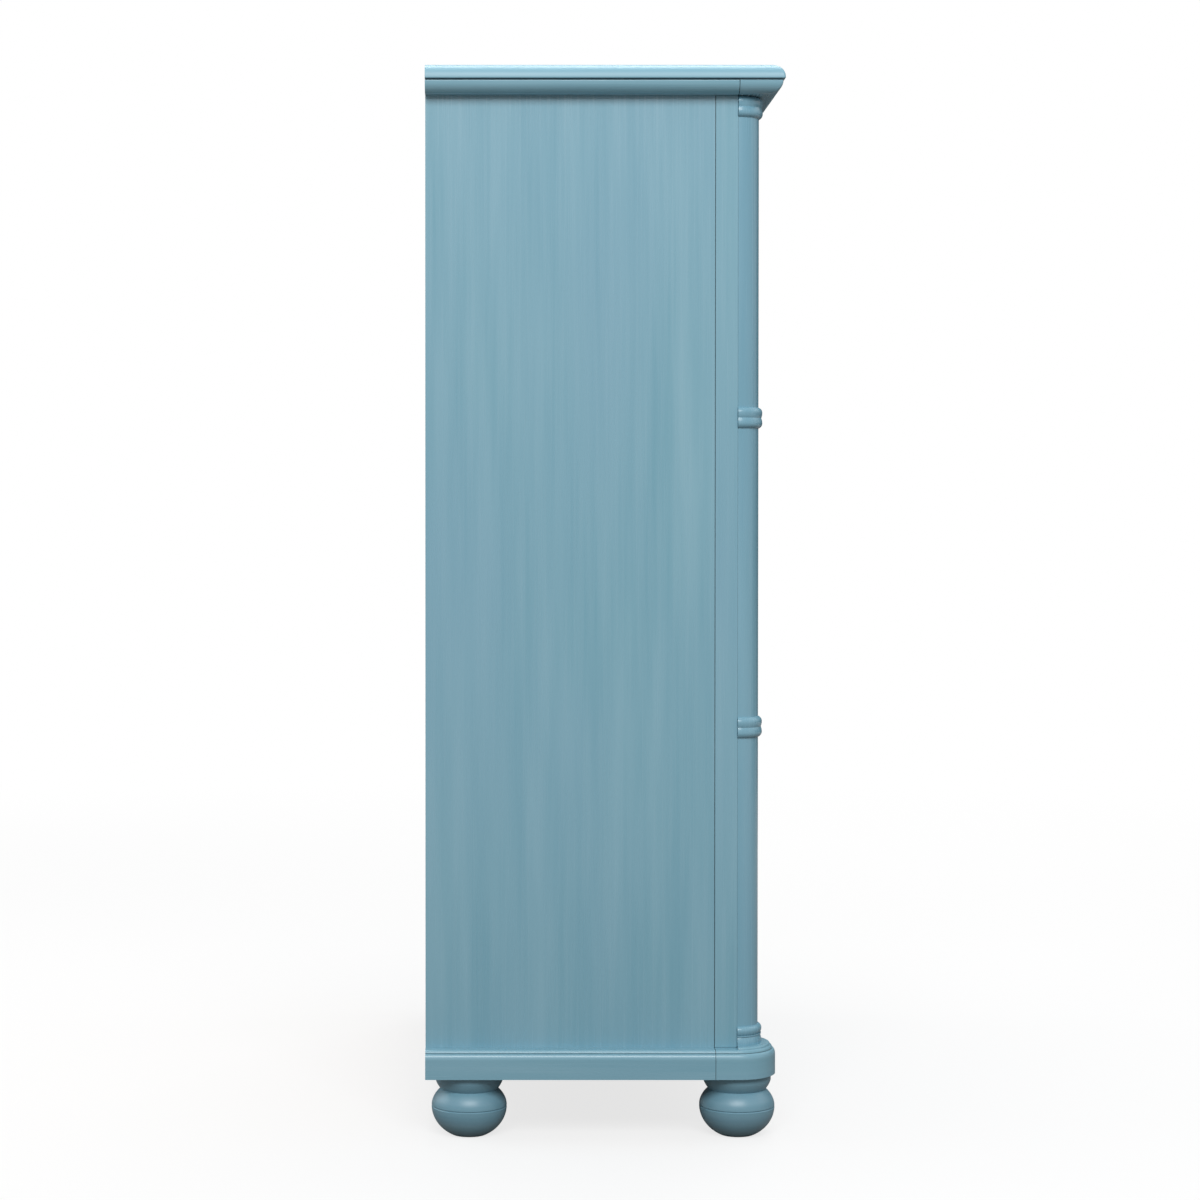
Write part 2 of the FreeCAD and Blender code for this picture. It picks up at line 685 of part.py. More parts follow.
def make_door():
    """Pieces of the left door, by name."""
    x0 = -OPENING_X + HINGE_GAP
    x1 = -MEETING_GAP / 2
    z0 = DOOR_OPEN_Z0 + DOOR_GAP
    z1 = DOOR_OPEN_Z1 - DOOR_GAP
    sight_x0 = x0 + STILE_W
    sight_x1 = x1 - STILE_W
    sight_z0 = z0 + DOOR_BOTTOM_RAIL_H
    sight_z1 = z1 - DOOR_TOP_RAIL_H
    back_y = FACE_Y + DOOR_T

    hinge_stile = along_z(stick_outline(x0, sight_x0, False), z0, z1)
    lock_stile = along_z(stick_outline(x1, sight_x1, False), z0, z1)
    groove_x0 = sight_x0 - PANEL_GROOVE_D
    groove_x1 = sight_x1 + PANEL_GROOVE_D
    stiles = [hinge_stile, lock_stile]
    top_rail = along_x(stick_outline(z1, sight_z1, True), groove_x0, groove_x1).cut(group(stiles))
    bottom_rail = along_x(stick_outline(z0, sight_z0, True), groove_x0, groove_x1).cut(group(stiles))

    knob_x = sight_x1 + STILE_W / 2
    knob_z = z1 - DOOR_KNOB_DROP
    strike_z = z1 - STRIKE_DROP
    strike = rod(
        STRIKE_R,
        (-MAGNET_INSET, back_y - STRIKE_T, strike_z),
        (-MAGNET_INSET, back_y, strike_z),
    )
    seat = rod(
        STRIKE_R + ROUND_FIT,
        (-MAGNET_INSET, back_y - STRIKE_T, strike_z),
        (-MAGNET_INSET, back_y, strike_z),
    )
    lock_stile = lock_stile.cut(group([knob_hole(knob_x, knob_z), seat]))
    return {
        "hinge_stile": hinge_stile,
        "lock_stile": lock_stile,
        "top_rail": top_rail,
        "bottom_rail": bottom_rail,
        "panel": make_door_panel(sight_x0, sight_x1, sight_z0, sight_z1),
        "knob": make_knob(knob_x, knob_z),
        "strike": strike,
    }


def make_door_panel(x0, x1, z0, z1):
    """A raised and fielded panel whose tongue stands in the grooves of the frame."""
    reach = PANEL_GROOVE_D - PANEL_PLAY
    tongue_y = FACE_Y + STICK_R + STICK_LIP + PANEL_SKIN
    tongue_back = tongue_y + PANEL_GROOVE_T - 2 * PANEL_SKIN
    tongue = box(x0 - reach, x1 + reach, tongue_y, tongue_back, z0 - reach, z1 + reach)
    low = PANEL_MARGIN
    high = PANEL_MARGIN + PANEL_BEVEL_W
    bevel_y = tongue_y - PANEL_BEVEL_H
    base_wire = panel_wire(x0 + low, x1 - low, z0 + low, z1 - low, tongue_y)
    field_wire = panel_wire(x0 + high, x1 - high, z0 + high, z1 - high, bevel_y)
    bevel = Part.makeLoft([base_wire, field_wire], True, True)
    field = box(x0 + high, x1 - high, bevel_y - PANEL_STEP, bevel_y, z0 + high, z1 - high)
    return merged(tongue, bevel, field)


def panel_wire(x0, x1, z0, z1, y):
    """An upright rectangle at depth y."""
    corners = [V(x0, y, z0), V(x1, y, z0), V(x1, y, z1), V(x0, y, z1), V(x0, y, z0)]
    return Part.makePolygon(corners)


def make_tails(x0, x1, shoulder, tip, z0, z1):
    """Dovetails that run from the shoulder of a drawer side to its tip, widening on the way."""
    pitch = (z1 - z0) / TAILS
    flare = abs(tip - shoulder) * TAIL_SLOPE
    tails = []
    for i in range(TAILS):
        centre = z0 + (i + 0.5) * pitch
        narrow = TAIL_SHARE * pitch / 2
        wide = narrow + flare
        face = outline(
            (shoulder, centre - narrow),
            (tip, centre - wide),
            (tip, centre + wide),
            (shoulder, centre + narrow),
        )
        tails.append(along_x(face, x0, x1))
    return tails


def make_drawer(name, open_z):
    """A dovetailed drawer box behind an inset front."""
    outer_x = OPENING_X - DRAWER_GAP
    inner_x = outer_x - DRAWER_SIDE_T
    front_z0 = open_z + DRAWER_GAP
    front_z1 = open_z + DRAWER_OPEN_H - DRAWER_GAP
    front_back = FACE_Y + DRAWER_FRONT_T
    side_z0 = open_z + RUNNER_PLAY
    side_z1 = open_z + DRAWER_OPEN_H - DRAWER_HEADROOM
    box_end = BACK_PANEL_Y - DRAWER_BACK_ROOM
    back_front = box_end - DRAWER_SIDE_T
    bottom_z0 = side_z0 + DRAWER_BOTTOM_LIFT
    bottom_z1 = bottom_z0 + DRAWER_BOTTOM_T
    play = DRAWER_BOTTOM_PLAY

    bottom_x = inner_x + DRAWER_BOTTOM_IN - play
    bottom_y = front_back - DRAWER_BOTTOM_IN + play
    bottom = box(-bottom_x, bottom_x, bottom_y, box_end, bottom_z0, bottom_z1)
    slot_x = inner_x + DRAWER_BOTTOM_IN
    slot = box(-slot_x, slot_x, front_back - DRAWER_BOTTOM_IN, box_end, bottom_z0, bottom_z1)

    front_tails = make_tails(-outer_x, -inner_x, front_back, FACE_Y + DRAWER_LAP, front_z0, side_z1)
    rear_tails = make_tails(-outer_x, -inner_x, back_front, box_end, bottom_z1, side_z1)
    long_part = box(-outer_x, -inner_x, front_back, back_front, side_z0, side_z1)
    under_back = box(-outer_x, -inner_x, back_front, box_end, side_z0, bottom_z1)
    side = merged(long_part, under_back, *front_tails, *rear_tails).cut(slot)
    sides = [side, mirrored(side)]

    front = box(-outer_x, outer_x, FACE_Y, front_back, front_z0, front_z1)
    face_edges = [edge for edge in front.Edges if edge.BoundBox.YMax < FACE_Y + 0.01]
    front = front.makeFillet(DRAWER_FRONT_ROUND, face_edges)
    knob_z = (front_z0 + front_z1) / 2
    holes = [knob_hole(-DRAWER_KNOB_X, knob_z), knob_hole(DRAWER_KNOB_X, knob_z)]
    right_tails = [mirrored(tail) for tail in front_tails]
    front = front.cut(group(front_tails + right_tails)).cut(slot).cut(group(holes))

    right_rear = [mirrored(tail) for tail in rear_tails]
    back = box(-outer_x, outer_x, back_front, box_end, bottom_z1, side_z1)
    back = back.cut(group(rear_tails + right_rear))

    knobs = [make_knob(-DRAWER_KNOB_X, knob_z), make_knob(DRAWER_KNOB_X, knob_z)]
    nodes[name + "_front"] = front
    nodes[name + "_sides"] = group(sides)
    nodes[name + "_back"] = back
    nodes[name + "_bottom"] = bottom
    nodes[name + "_knobs"] = group(knobs)


make_top()
make_sides()
make_base()
make_feet()
make_face_frame()
make_hinges()
for piece, shape in make_door().items():
    nodes["left_door_" + piece] = shape
    nodes["right_door_" + piece] = mirrored(shape)
make_drawer("upper_drawer", UPPER_OPEN_Z0)
make_drawer("lower_drawer", LOWER_OPEN_Z0)

os.makedirs("parts", exist_ok=True)
for name, shape in nodes.items():
    shape.exportStep("parts/" + name + ".step")
print(len(nodes), "pieces written")
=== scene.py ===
# %% [markdown]
# # A painted door chest
#
# The chest is a tall piece of joinery: two framed doors over two wide drawers, ringed half columns at the
# front corners, a moulded cornice and base, and four turned bun feet. The joiner's solids come from the
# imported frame. Flat boards keep their solids and get softer edges and a finish. Turned and moulded pieces
# are made again here from the same sizes, because a curve needs more facets in a close view.

# %% Load the frame
import json
import math

import bpy
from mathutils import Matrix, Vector

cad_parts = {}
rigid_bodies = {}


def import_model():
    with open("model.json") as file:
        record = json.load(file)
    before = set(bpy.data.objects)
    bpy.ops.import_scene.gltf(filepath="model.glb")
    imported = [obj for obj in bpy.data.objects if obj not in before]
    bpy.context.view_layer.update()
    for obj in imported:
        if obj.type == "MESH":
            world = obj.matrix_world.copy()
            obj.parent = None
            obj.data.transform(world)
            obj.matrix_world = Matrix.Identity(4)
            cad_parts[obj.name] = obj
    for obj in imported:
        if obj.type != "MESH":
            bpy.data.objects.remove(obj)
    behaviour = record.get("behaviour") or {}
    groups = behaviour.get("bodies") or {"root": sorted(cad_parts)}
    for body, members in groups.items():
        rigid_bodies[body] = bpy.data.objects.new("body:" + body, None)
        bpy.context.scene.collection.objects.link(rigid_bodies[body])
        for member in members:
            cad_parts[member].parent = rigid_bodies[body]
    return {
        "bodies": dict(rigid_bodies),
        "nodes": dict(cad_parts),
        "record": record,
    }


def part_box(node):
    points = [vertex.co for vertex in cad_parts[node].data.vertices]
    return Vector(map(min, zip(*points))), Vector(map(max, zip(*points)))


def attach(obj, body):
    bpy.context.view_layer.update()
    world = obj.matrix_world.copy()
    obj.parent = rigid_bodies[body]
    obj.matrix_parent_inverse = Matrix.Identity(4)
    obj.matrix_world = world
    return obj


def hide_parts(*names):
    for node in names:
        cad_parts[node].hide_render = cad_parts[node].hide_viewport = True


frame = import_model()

scene = bpy.context.scene
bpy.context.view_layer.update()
slot_of = {row["node"]: row["material_slot"] for row in frame["record"]["subparts"]}

# %% [markdown]
# ## The view
#
# The photograph looks straight at the chest's left side from four metres, a little above the middle. A long
# lens that is almost level keeps upright edges upright. The small shift puts the chest where it stands in
# the picture.

# %% Camera
PICTURE = 1200
FOCAL_PIXELS = 2692
LENS_COLUMN = 488.7
LENS_ROW = 539.7
PITCH_DOWN = 0.89
SENSOR_W = 36.0
CAMERA_PLACE = (-4.300, 0.164, 0.913)
camera_data = bpy.data.cameras.new("camera")
camera_data.sensor_width = SENSOR_W
camera_data.lens = SENSOR_W * FOCAL_PIXELS / PICTURE
camera_data.shift_x = 0.5 - LENS_COLUMN / PICTURE
camera_data.shift_y = LENS_ROW / PICTURE - 0.5
camera = bpy.data.objects.new("camera", camera_data)
camera.location = CAMERA_PLACE
camera.rotation_euler = (math.radians(90 - PITCH_DOWN), 0, math.radians(-90))
scene.collection.objects.link(camera)
scene.camera = camera
scene.view_settings.view_transform = "Standard"
print("lens", round(camera_data.lens, 1), "mm")
print("shift", round(camera_data.shift_x, 3), round(camera_data.shift_y, 3))

# %% [markdown]
# ## Floor, backdrop and light
#
# The floor is a pale sheet that runs out to white. The camera and mirror-like rays see the white; light that
# bounces off the floor comes from a duller, warmer sheet, so the feet keep their dark undersides. Soft boxes
# stand where their glints show in the photograph: one high on the camera's side, one above the top board,
# and large weak ones for the other sides. A dark card stands beyond the chest and folds round to its front.
# It is seen only in the gloss, and keeps the edges that turn away from the camera from going white.


# %% Node helpers
def add_node(tree, kind, settings=None, inputs=None):
    """A node with its settings and its input values; a pair (node, output) makes a link."""
    node = tree.nodes.new(kind)
    for name, value in (settings or {}).items():
        setattr(node, name, value)
    for name, value in (inputs or {}).items():
        if isinstance(value, tuple) and isinstance(value[0], bpy.types.Node):
            tree.links.new(value[0].outputs[value[1]], node.inputs[name])
        else:
            node.inputs[name].default_value = value
    return node


def math_node(tree, operation, first, second):
    """One step of arithmetic on a value."""
    return add_node(tree, "ShaderNodeMath", {"operation": operation}, {0: first, 1: second})


def direct_rays(tree):
    """Two masks: rays from the camera or through a clear piece, and rays off a mirror."""
    path = add_node(tree, "ShaderNodeLightPath")
    seen = math_node(tree, "MAXIMUM", (path, "Is Camera Ray"), (path, "Is Transmission Ray"))
    return (seen, 0), (path, "Is Glossy Ray")


# %% World
AMBIENT = 0.43
world = bpy.data.worlds.new("studio")
world.use_nodes = True
scene.world = world
tree = world.node_tree
tree.nodes.clear()
ambient = add_node(tree, "ShaderNodeBackground", None, {"Color": (1, 1, 1, 1), "Strength": AMBIENT})
white = add_node(tree, "ShaderNodeBackground", None, {"Color": (1, 1, 1, 1), "Strength": 1.0})
seen, mirrored = direct_rays(tree)
direct = math_node(tree, "MAXIMUM", seen, mirrored)
mixed = add_node(tree, "ShaderNodeMixShader", None, {0: (direct, 0), 1: (ambient, 0), 2: (white, 0)})
add_node(tree, "ShaderNodeOutputWorld", None, {"Surface": (mixed, 0)})
print("ambient strength", AMBIENT)

# %% Floor
FLOOR_HALF = 30.0
FADE_START = 0.8
FADE_END = 4.5
NEAR_WHITE = 0.76
FLOOR_PALE = (0.80, 0.80, 0.80, 1)
FLOOR_DULL = (0.24, 0.20, 0.18, 1)
floor_mesh = bpy.data.meshes.new("floor")
corners = [(-FLOOR_HALF, -FLOOR_HALF, 0), (FLOOR_HALF, -FLOOR_HALF, 0),
           (FLOOR_HALF, FLOOR_HALF, 0), (-FLOOR_HALF, FLOOR_HALF, 0)]
floor_mesh.from_pydata(corners, [], [(0, 1, 2, 3)])
floor = bpy.data.objects.new("floor", floor_mesh)
scene.collection.objects.link(floor)

floor_paper = bpy.data.materials.new("floor_paper")
floor_paper.use_nodes = True
tree = floor_paper.node_tree
tree.nodes.clear()
coords = add_node(tree, "ShaderNodeTexCoord")
reach = add_node(tree, "ShaderNodeVectorMath", {"operation": "LENGTH"}, {0: (coords, "Object")})
far = add_node(tree, "ShaderNodeMapRange", {"interpolation_type": "SMOOTHSTEP"}, {
    "Value": (reach, "Value"), "From Min": FADE_START, "From Max": FADE_END})
whiter = add_node(tree, "ShaderNodeMapRange", None, {"Value": (far, 0), "To Min": NEAR_WHITE})
seen, mirrored = direct_rays(tree)
seen_share = math_node(tree, "MULTIPLY", seen, (whiter, 0))
mirror_share = math_node(tree, "MULTIPLY", mirrored, (far, 0))
share = math_node(tree, "MAXIMUM", (seen_share, 0), (mirror_share, 0))
tone = add_node(tree, "ShaderNodeMix", {"data_type": "RGBA"}, {
    "Factor": seen, 6: FLOOR_DULL, 7: FLOOR_PALE})
sheet = add_node(tree, "ShaderNodeBsdfDiffuse", None, {"Color": (tone, 2)})
glow = add_node(tree, "ShaderNodeEmission", None, {"Color": (1, 1, 1, 1), "Strength": 1.0})
mixed = add_node(tree, "ShaderNodeMixShader", None, {0: (share, 0), 1: (sheet, 0), 2: (glow, 0)})
add_node(tree, "ShaderNodeOutputMaterial", None, {"Surface": (mixed, 0)})
floor_mesh.materials.append(floor_paper)
print("floor fades to white from", FADE_START, "to", FADE_END, "m")


# %% Soft boxes
def soft_box(name, place, target, width, height, power):
    """A flat soft light that faces its target."""
    lamp = bpy.data.lights.new(name, "AREA")
    lamp.shape = "RECTANGLE"
    lamp.size = width
    lamp.size_y = height
    lamp.energy = power
    holder = bpy.data.objects.new(name, lamp)
    holder.location = place
    way = Vector(target) - Vector(place)
    holder.rotation_euler = way.to_track_quat("-Z", "Y").to_euler()
    scene.collection.objects.link(holder)


soft_box("side_box", (-4.7, 0.0, 3.8), (-0.45, 0, 0.75), 3.6, 2.2, 212)
soft_box("top_box", (0.2, -0.05, 3.3), (0.05, -0.05, 1.5), 1.5, 1.0, 33)
soft_box("front_box", (0.4, -3.6, 2.2), (0, -0.2, 0.8), 2.4, 2.4, 14)
soft_box("rear_box", (0.3, 3.4, 2.0), (0, 0.25, 0.8), 2.4, 2.4, 30)
soft_box("far_box", (3.6, -0.8, 2.6), (0.45, 0, 0.8), 2.4, 2.4, 55)

# %% Dark card
CARD_X = 2.6
CARD_END_X = -0.6
CARD_REAR_Y = 2.4
CARD_FRONT_Y = -4.4
CARD_LOW_Z = 0.02
CARD_HIGH_Z = 3.6
CARD_END_HIGH_Z = 2.2
CARD_TONE = (0.10, 0.12, 0.13, 1)
card_mesh = bpy.data.meshes.new("dark_card")
plan = [(CARD_X, CARD_REAR_Y), (CARD_X, CARD_FRONT_Y), (CARD_END_X, CARD_FRONT_Y)]
tops = (CARD_HIGH_Z, CARD_HIGH_Z, CARD_END_HIGH_Z)
corners = [(x, y, CARD_LOW_Z) for x, y in plan]
corners += [(x, y, z) for (x, y), z in zip(plan, tops)]
card_mesh.from_pydata(corners, [], [(0, 1, 4, 3), (1, 2, 5, 4)])
card = bpy.data.objects.new("dark_card", card_mesh)
scene.collection.objects.link(card)
card.visible_camera = False
card.visible_diffuse = False
card.visible_shadow = False
card.visible_transmission = False
black_cloth = bpy.data.materials.new("black_cloth")
black_cloth.use_nodes = True
tree = black_cloth.node_tree
tree.nodes.clear()
cloth = add_node(tree, "ShaderNodeBsdfDiffuse", None, {"Color": CARD_TONE})
add_node(tree, "ShaderNodeOutputMaterial", None, {"Surface": (cloth, 0)})
card_mesh.materials.append(black_cloth)
print("dark card stands at x", CARD_X, "and y", CARD_FRONT_Y)

# %% [markdown]
# ## Brush strokes
#
# The paint was brushed on along each board and shows faint streaks: fine ones as wide as a few bristles,
# broad ones where one pass of the brush ends, and wide clouds where a second coat is thicker. One group
# makes all three from noise that is stretched along the stroke. It is fed with coordinates whose Z runs
# along the stroke, so one group serves every board.


# %% Group tools
NOISE_ROUGHNESS = 0.55
NOISE_RANGE = (0.3, 0.7)


def new_group(name, inputs, outputs):
    """An empty shader node group with named sockets; each input is (name, kind, value)."""
    group = bpy.data.node_groups.new(name, "ShaderNodeTree")
    for label, kind, value in inputs:
        socket = group.interface.new_socket(label, in_out="INPUT", socket_type=kind)
        if value is not None:
            socket.default_value = value
    for label in outputs:
        group.interface.new_socket(label, in_out="OUTPUT", socket_type="NodeSocketFloat")
    start = group.nodes.new("NodeGroupInput")
    end = group.nodes.new("NodeGroupOutput")
    return group, start, end


def stretched_noise(tree, vector, shift, across, along, detail):
    """Noise drawn out along Z; across and along are the sizes of a patch in metres."""
    scaled = add_node(tree, "ShaderNodeMapping", None, {
        "Vector": vector, "Scale": (1 / across, 1 / across, 1 / along)})
    return add_node(tree, "ShaderNodeTexNoise", {"noise_dimensions": "4D"}, {
        "Vector": (scaled, 0), "W": shift, "Scale": 1.0, "Detail": detail, "Roughness": NOISE_ROUGHNESS})


def spread(tree, value, low, high):
    """A noise value stretched so that low becomes 0 and high becomes 1."""
    return add_node(tree, "ShaderNodeMapRange", None, {"Value": value, "From Min": low, "From Max": high})


# %% Brush stroke group
# Each pair is the size of a patch across and along the stroke, in metres.
FINE_STROKE = (0.0042, 0.26)
BROAD_STROKE = (0.026, 0.42)
CLOUD_PATCH = (0.20, 0.55)
PAINT_SHIFT = 40.0
brush_strokes, start, end = new_group(
    "Brush strokes",
    [("Vector", "NodeSocketVector", None), ("Board", "NodeSocketFloat", 0.0)],
    ["Fine", "Broad", "Cloud"])
tree = brush_strokes
shift = math_node(tree, "MULTIPLY", (start, "Board"), PAINT_SHIFT)
fine = stretched_noise(tree, (start, "Vector"), (shift, 0), *FINE_STROKE, 3.0)
broad = stretched_noise(tree, (start, "Vector"), (shift, 0), *BROAD_STROKE, 2.0)
cloud = stretched_noise(tree, (start, "Vector"), (shift, 0), *CLOUD_PATCH, 2.0)
for label, noise in (("Fine", fine), ("Broad", broad), ("Cloud", cloud)):
    tree.links.new(spread(tree, (noise, 0), *NOISE_RANGE).outputs[0], end.inputs[label])
print("group:", brush_strokes.name, [s.name for s in brush_strokes.interface.items_tree])

# %% [markdown]
# ## Worn and lit edges
#
# On the paint, arrises are painted a little lighter than the boards between them: a painted highlight
# along each edge. On lacquered wood and on metal the same mask is real wear, where hands and cloths rub.
# The Bevel node gives the normal that a rounded edge would have; where it leaves the true normal there is an
# edge. A slow noise breaks the line up. Paint, lacquered wood and metal all use this group.

# %% Worn and lit edge group
FLAT_LIKENESS = 0.995
EDGE_LIKENESS = 0.86
BREAK_SCALE = 22.0
BREAK_RANGE = (0.32, 0.62)
worn_and_lit_edges, start, end = new_group(
    "Worn and lit edges",
    [("Vector", "NodeSocketVector", None), ("Width", "NodeSocketFloat", 0.0015)],
    ["Edge"])
tree = worn_and_lit_edges
rounded = add_node(tree, "ShaderNodeBevel", {"samples": 4}, {"Radius": (start, "Width")})
surface = add_node(tree, "ShaderNodeNewGeometry")
likeness = add_node(tree, "ShaderNodeVectorMath", {"operation": "DOT_PRODUCT"}, {
    0: (rounded, "Normal"), 1: (surface, "Normal")})
turn = spread(tree, (likeness, "Value"), FLAT_LIKENESS, EDGE_LIKENESS)
breaks = add_node(tree, "ShaderNodeTexNoise", None, {
    "Vector": (start, "Vector"), "Scale": BREAK_SCALE, "Detail": 3.0})
broken = spread(tree, (breaks, 0), *BREAK_RANGE)
edge = math_node(tree, "MULTIPLY", (turn, 0), (broken, 0))
tree.links.new(edge.outputs[0], end.inputs["Edge"])
print("group:", worn_and_lit_edges.name)

# %% [markdown]
# ## Painted shade in the joints
#
# Joints, creases and scribed grooves are painted darker, as the shade that falls in them. An Ambient
# Occlusion node with a reach of a few millimetres finds these places, because nearby faces close them in.

# %% Crevice shade group
OPEN_SHARE = 0.52
CLOSED_SHARE = 0.18
crevice_shade, start, end = new_group("Crevice shade", [("Reach", "NodeSocketFloat", 0.004)], ["Painted shade"])
nearby = add_node(crevice_shade, "ShaderNodeAmbientOcclusion", {"samples": 8}, {"Distance": (start, "Reach")})
painted_shade = spread(crevice_shade, (nearby, "AO"), OPEN_SHARE, CLOSED_SHARE)
crevice_shade.links.new(painted_shade.outputs[0], end.inputs["Painted shade"])
print("group:", crevice_shade.name)

# %% [markdown]
# ## The blue paint
#
# The paint is a soft blue with a semi-gloss. Streaks drift between a deeper and a greyer blue, and wide
# clouds lean to a cooler blue where a second coat is thicker. The gloss changes a little with the streaks,
# and the bristles leave shallow ridges that catch the light. Strokes follow the length of a board, so there
# is one paint for each direction, and one that runs around turned work. The columns and the feet get
# darker tones, which is painted shade, and the top board has a duller gloss from use.

# %% Paint
PAINT_DEEP = (0.150, 0.340, 0.426, 1)
PAINT_PALE = (0.208, 0.398, 0.484, 1)
PAINT_GREY = (0.238, 0.416, 0.498, 1)
PAINT_COOL = (0.186, 0.352, 0.462, 1)
# The lighter blue of the painted highlight along the edges of the paint.
PAINT_EDGE_SHEEN = (0.330, 0.520, 0.600, 1)
# The dark colour of the painted shade in joints, creases and grooves.
PAINT_SHADE = (0.020, 0.036, 0.044, 1)
BOARD_TONES = (PAINT_DEEP, PAINT_PALE, PAINT_GREY, PAINT_COOL)
# Darker copies of the board tones: painted shade on the columns and the feet.
COLUMN_SHADED_TONES = ((0.138, 0.328, 0.422, 1), (0.191, 0.384, 0.479, 1), (0.219, 0.401, 0.493, 1),
                (0.171, 0.340, 0.457, 1))
FOOT_SHADED_TONES = ((0.120, 0.280, 0.358, 1), (0.170, 0.330, 0.408, 1), (0.198, 0.350, 0.424, 1),
              (0.155, 0.292, 0.396, 1))
BOARD_ROUGH = (0.23, 0.30)
TURNED_ROUGH = (0.33, 0.41)
TOP_ROUGH = (0.36, 0.44)
JOINT_SHADE = 0.78
COLUMN_SHADE = 0.25
FINE_SHARE = 0.26
CLOUD_SHARE = 0.40
EDGE_SHEEN_SHARE = 0.18
EDGE_W = 0.0012
SHADE_REACH = 0.003
RIDGE_STRENGTH = 0.035
RIDGE_H = 0.0005
END_TILT = 0.06
AROUND = (0.02, 0.02, 45)


def mix_colour(tree, share, first, second):
    """Blend of two colours; each is a colour or a (node, output) pair."""
    return add_node(tree, "ShaderNodeMix", {"data_type": "RGBA"}, {
        "Factor": share, 6: first, 7: second})


def surface_shader(name):
    """A new material with only a Principled shader and its output."""
    material = bpy.data.materials.new(name)
    material.use_nodes = True
    tree = material.node_tree
    tree.nodes.clear()
    shader = add_node(tree, "ShaderNodeBsdfPrincipled")
    add_node(tree, "ShaderNodeOutputMaterial", None, {"Surface": (shader, 0)})
    return material, tree, shader


def along_grain(tree, turn):
    """Object coordinates turned so that Z runs along the board, and a number for each board."""
    coords = add_node(tree, "ShaderNodeTexCoord")
    turned = add_node(tree, "ShaderNodeMapping", None, {"Vector": (coords, "Object"), "Rotation": turn})
    return turned, add_node(tree, "ShaderNodeObjectInfo")


def paint(name, turn, end_turn=None, squeeze=(1, 1, 1), rough=BOARD_ROUGH, tones=BOARD_TONES,
          painted_shade=JOINT_SHADE):
    """Brushed blue paint whose strokes run the way that turn gives, or end_turn on the board's ends."""
    material, tree, shader = surface_shader(name)
    deep, pale, grey, cool = tones
    turned, board = along_grain(tree, turn)
    if end_turn:
        end_turned, board = along_grain(tree, end_turn)
        coords = add_node(tree, "ShaderNodeTexCoord")
        facing = add_node(tree, "ShaderNodeSeparateXYZ", None, {0: (coords, "Normal")})
        sideways = math_node(tree, "ABSOLUTE", (facing, "X"), 0.0)
        at_end = math_node(tree, "GREATER_THAN", (sideways, 0), END_TILT)
        turned = add_node(tree, "ShaderNodeMix", {"data_type": "VECTOR"}, {
            "Factor": (at_end, 0), 4: (turned, 0), 5: (end_turned, 0)})
    place = (turned, 1 if end_turn else 0)
    drawn = add_node(tree, "ShaderNodeMapping", None, {"Vector": place, "Scale": squeeze})
    strokes = add_node(tree, "ShaderNodeGroup", {"node_tree": brush_strokes}, {
        "Vector": (drawn, 0), "Board": (board, "Random")})
    edges = add_node(tree, "ShaderNodeGroup", {"node_tree": worn_and_lit_edges}, {
        "Vector": place, "Width": EDGE_W})
    corners = add_node(tree, "ShaderNodeGroup", {"node_tree": crevice_shade}, {"Reach": SHADE_REACH})
    body = mix_colour(tree, (strokes, "Broad"), deep, pale)
    grey_share = math_node(tree, "MULTIPLY", (strokes, "Fine"), FINE_SHARE)
    streaked = mix_colour(tree, (grey_share, 0), (body, 2), grey)
    cloud_share = math_node(tree, "MULTIPLY", (strokes, "Cloud"), CLOUD_SHARE)
    clouded = mix_colour(tree, (cloud_share, 0), (streaked, 2), cool)
    # Painted highlight: the edges of the paint are made lighter.
    edge_wear_and_sheen_share = math_node(tree, "MULTIPLY", (edges, "Edge"), EDGE_SHEEN_SHARE)
    edge_wear_and_sheen = mix_colour(tree, (edge_wear_and_sheen_share, 0), (clouded, 2), PAINT_EDGE_SHEEN)
    # Painted shade: joints, creases and grooves are darkened where nearby faces close them in.
    shade_share = math_node(tree, "MULTIPLY", (corners, "Painted shade"), painted_shade)
    shaded = mix_colour(tree, (shade_share, 0), (edge_wear_and_sheen, 2), PAINT_SHADE)
    tree.links.new(shaded.outputs[2], shader.inputs["Base Color"])
    gloss = add_node(tree, "ShaderNodeMapRange", None, {
        "Value": (strokes, "Fine"), "To Min": rough[0], "To Max": rough[1]})
    tree.links.new(gloss.outputs[0], shader.inputs["Roughness"])
    ridges = add_node(tree, "ShaderNodeBump", None, {
        "Height": (strokes, "Fine"), "Strength": RIDGE_STRENGTH, "Distance": RIDGE_H})
    tree.links.new(ridges.outputs[0], shader.inputs["Normal"])
    return material


QUARTER = math.pi / 2
paint_upright = paint("paint_upright", (0, 0, 0))
paint_across = paint("paint_across", (0, QUARTER, 0), (QUARTER, 0, 0))
# The columns and the feet are painted in darker tones, which is painted shade.
paint_column_shaded = paint("paint_column_shaded", (0, 0, 0), tones=COLUMN_SHADED_TONES, painted_shade=COLUMN_SHADE)
paint_deep = paint("paint_deep", (QUARTER, 0, 0))
paint_top = paint("paint_top", (0, QUARTER, 0), (QUARTER, 0, 0), rough=TOP_ROUGH)
paint_turned = paint("paint_turned", (0, 0, 0), None, AROUND, TURNED_ROUGH)
paint_feet_shaded = paint("paint_feet_shaded", (0, 0, 0), None, AROUND, TURNED_ROUGH, FOOT_SHADED_TONES)
print("paints:", [m.name for m in bpy.data.materials if m.name.startswith("paint")])

# %% [markdown]
# ## Bare wood and plywood
#
# Drawer boxes and runners are pale hardwood under a clear lacquer, and the back and the drawer bottoms are
# thin plywood. Year rings are a ring pattern cut lengthwise, bent by noise; pores are short dark dashes
# along the grain. The plywood uses the same grain with its plies showing as stripes on the cut edges.

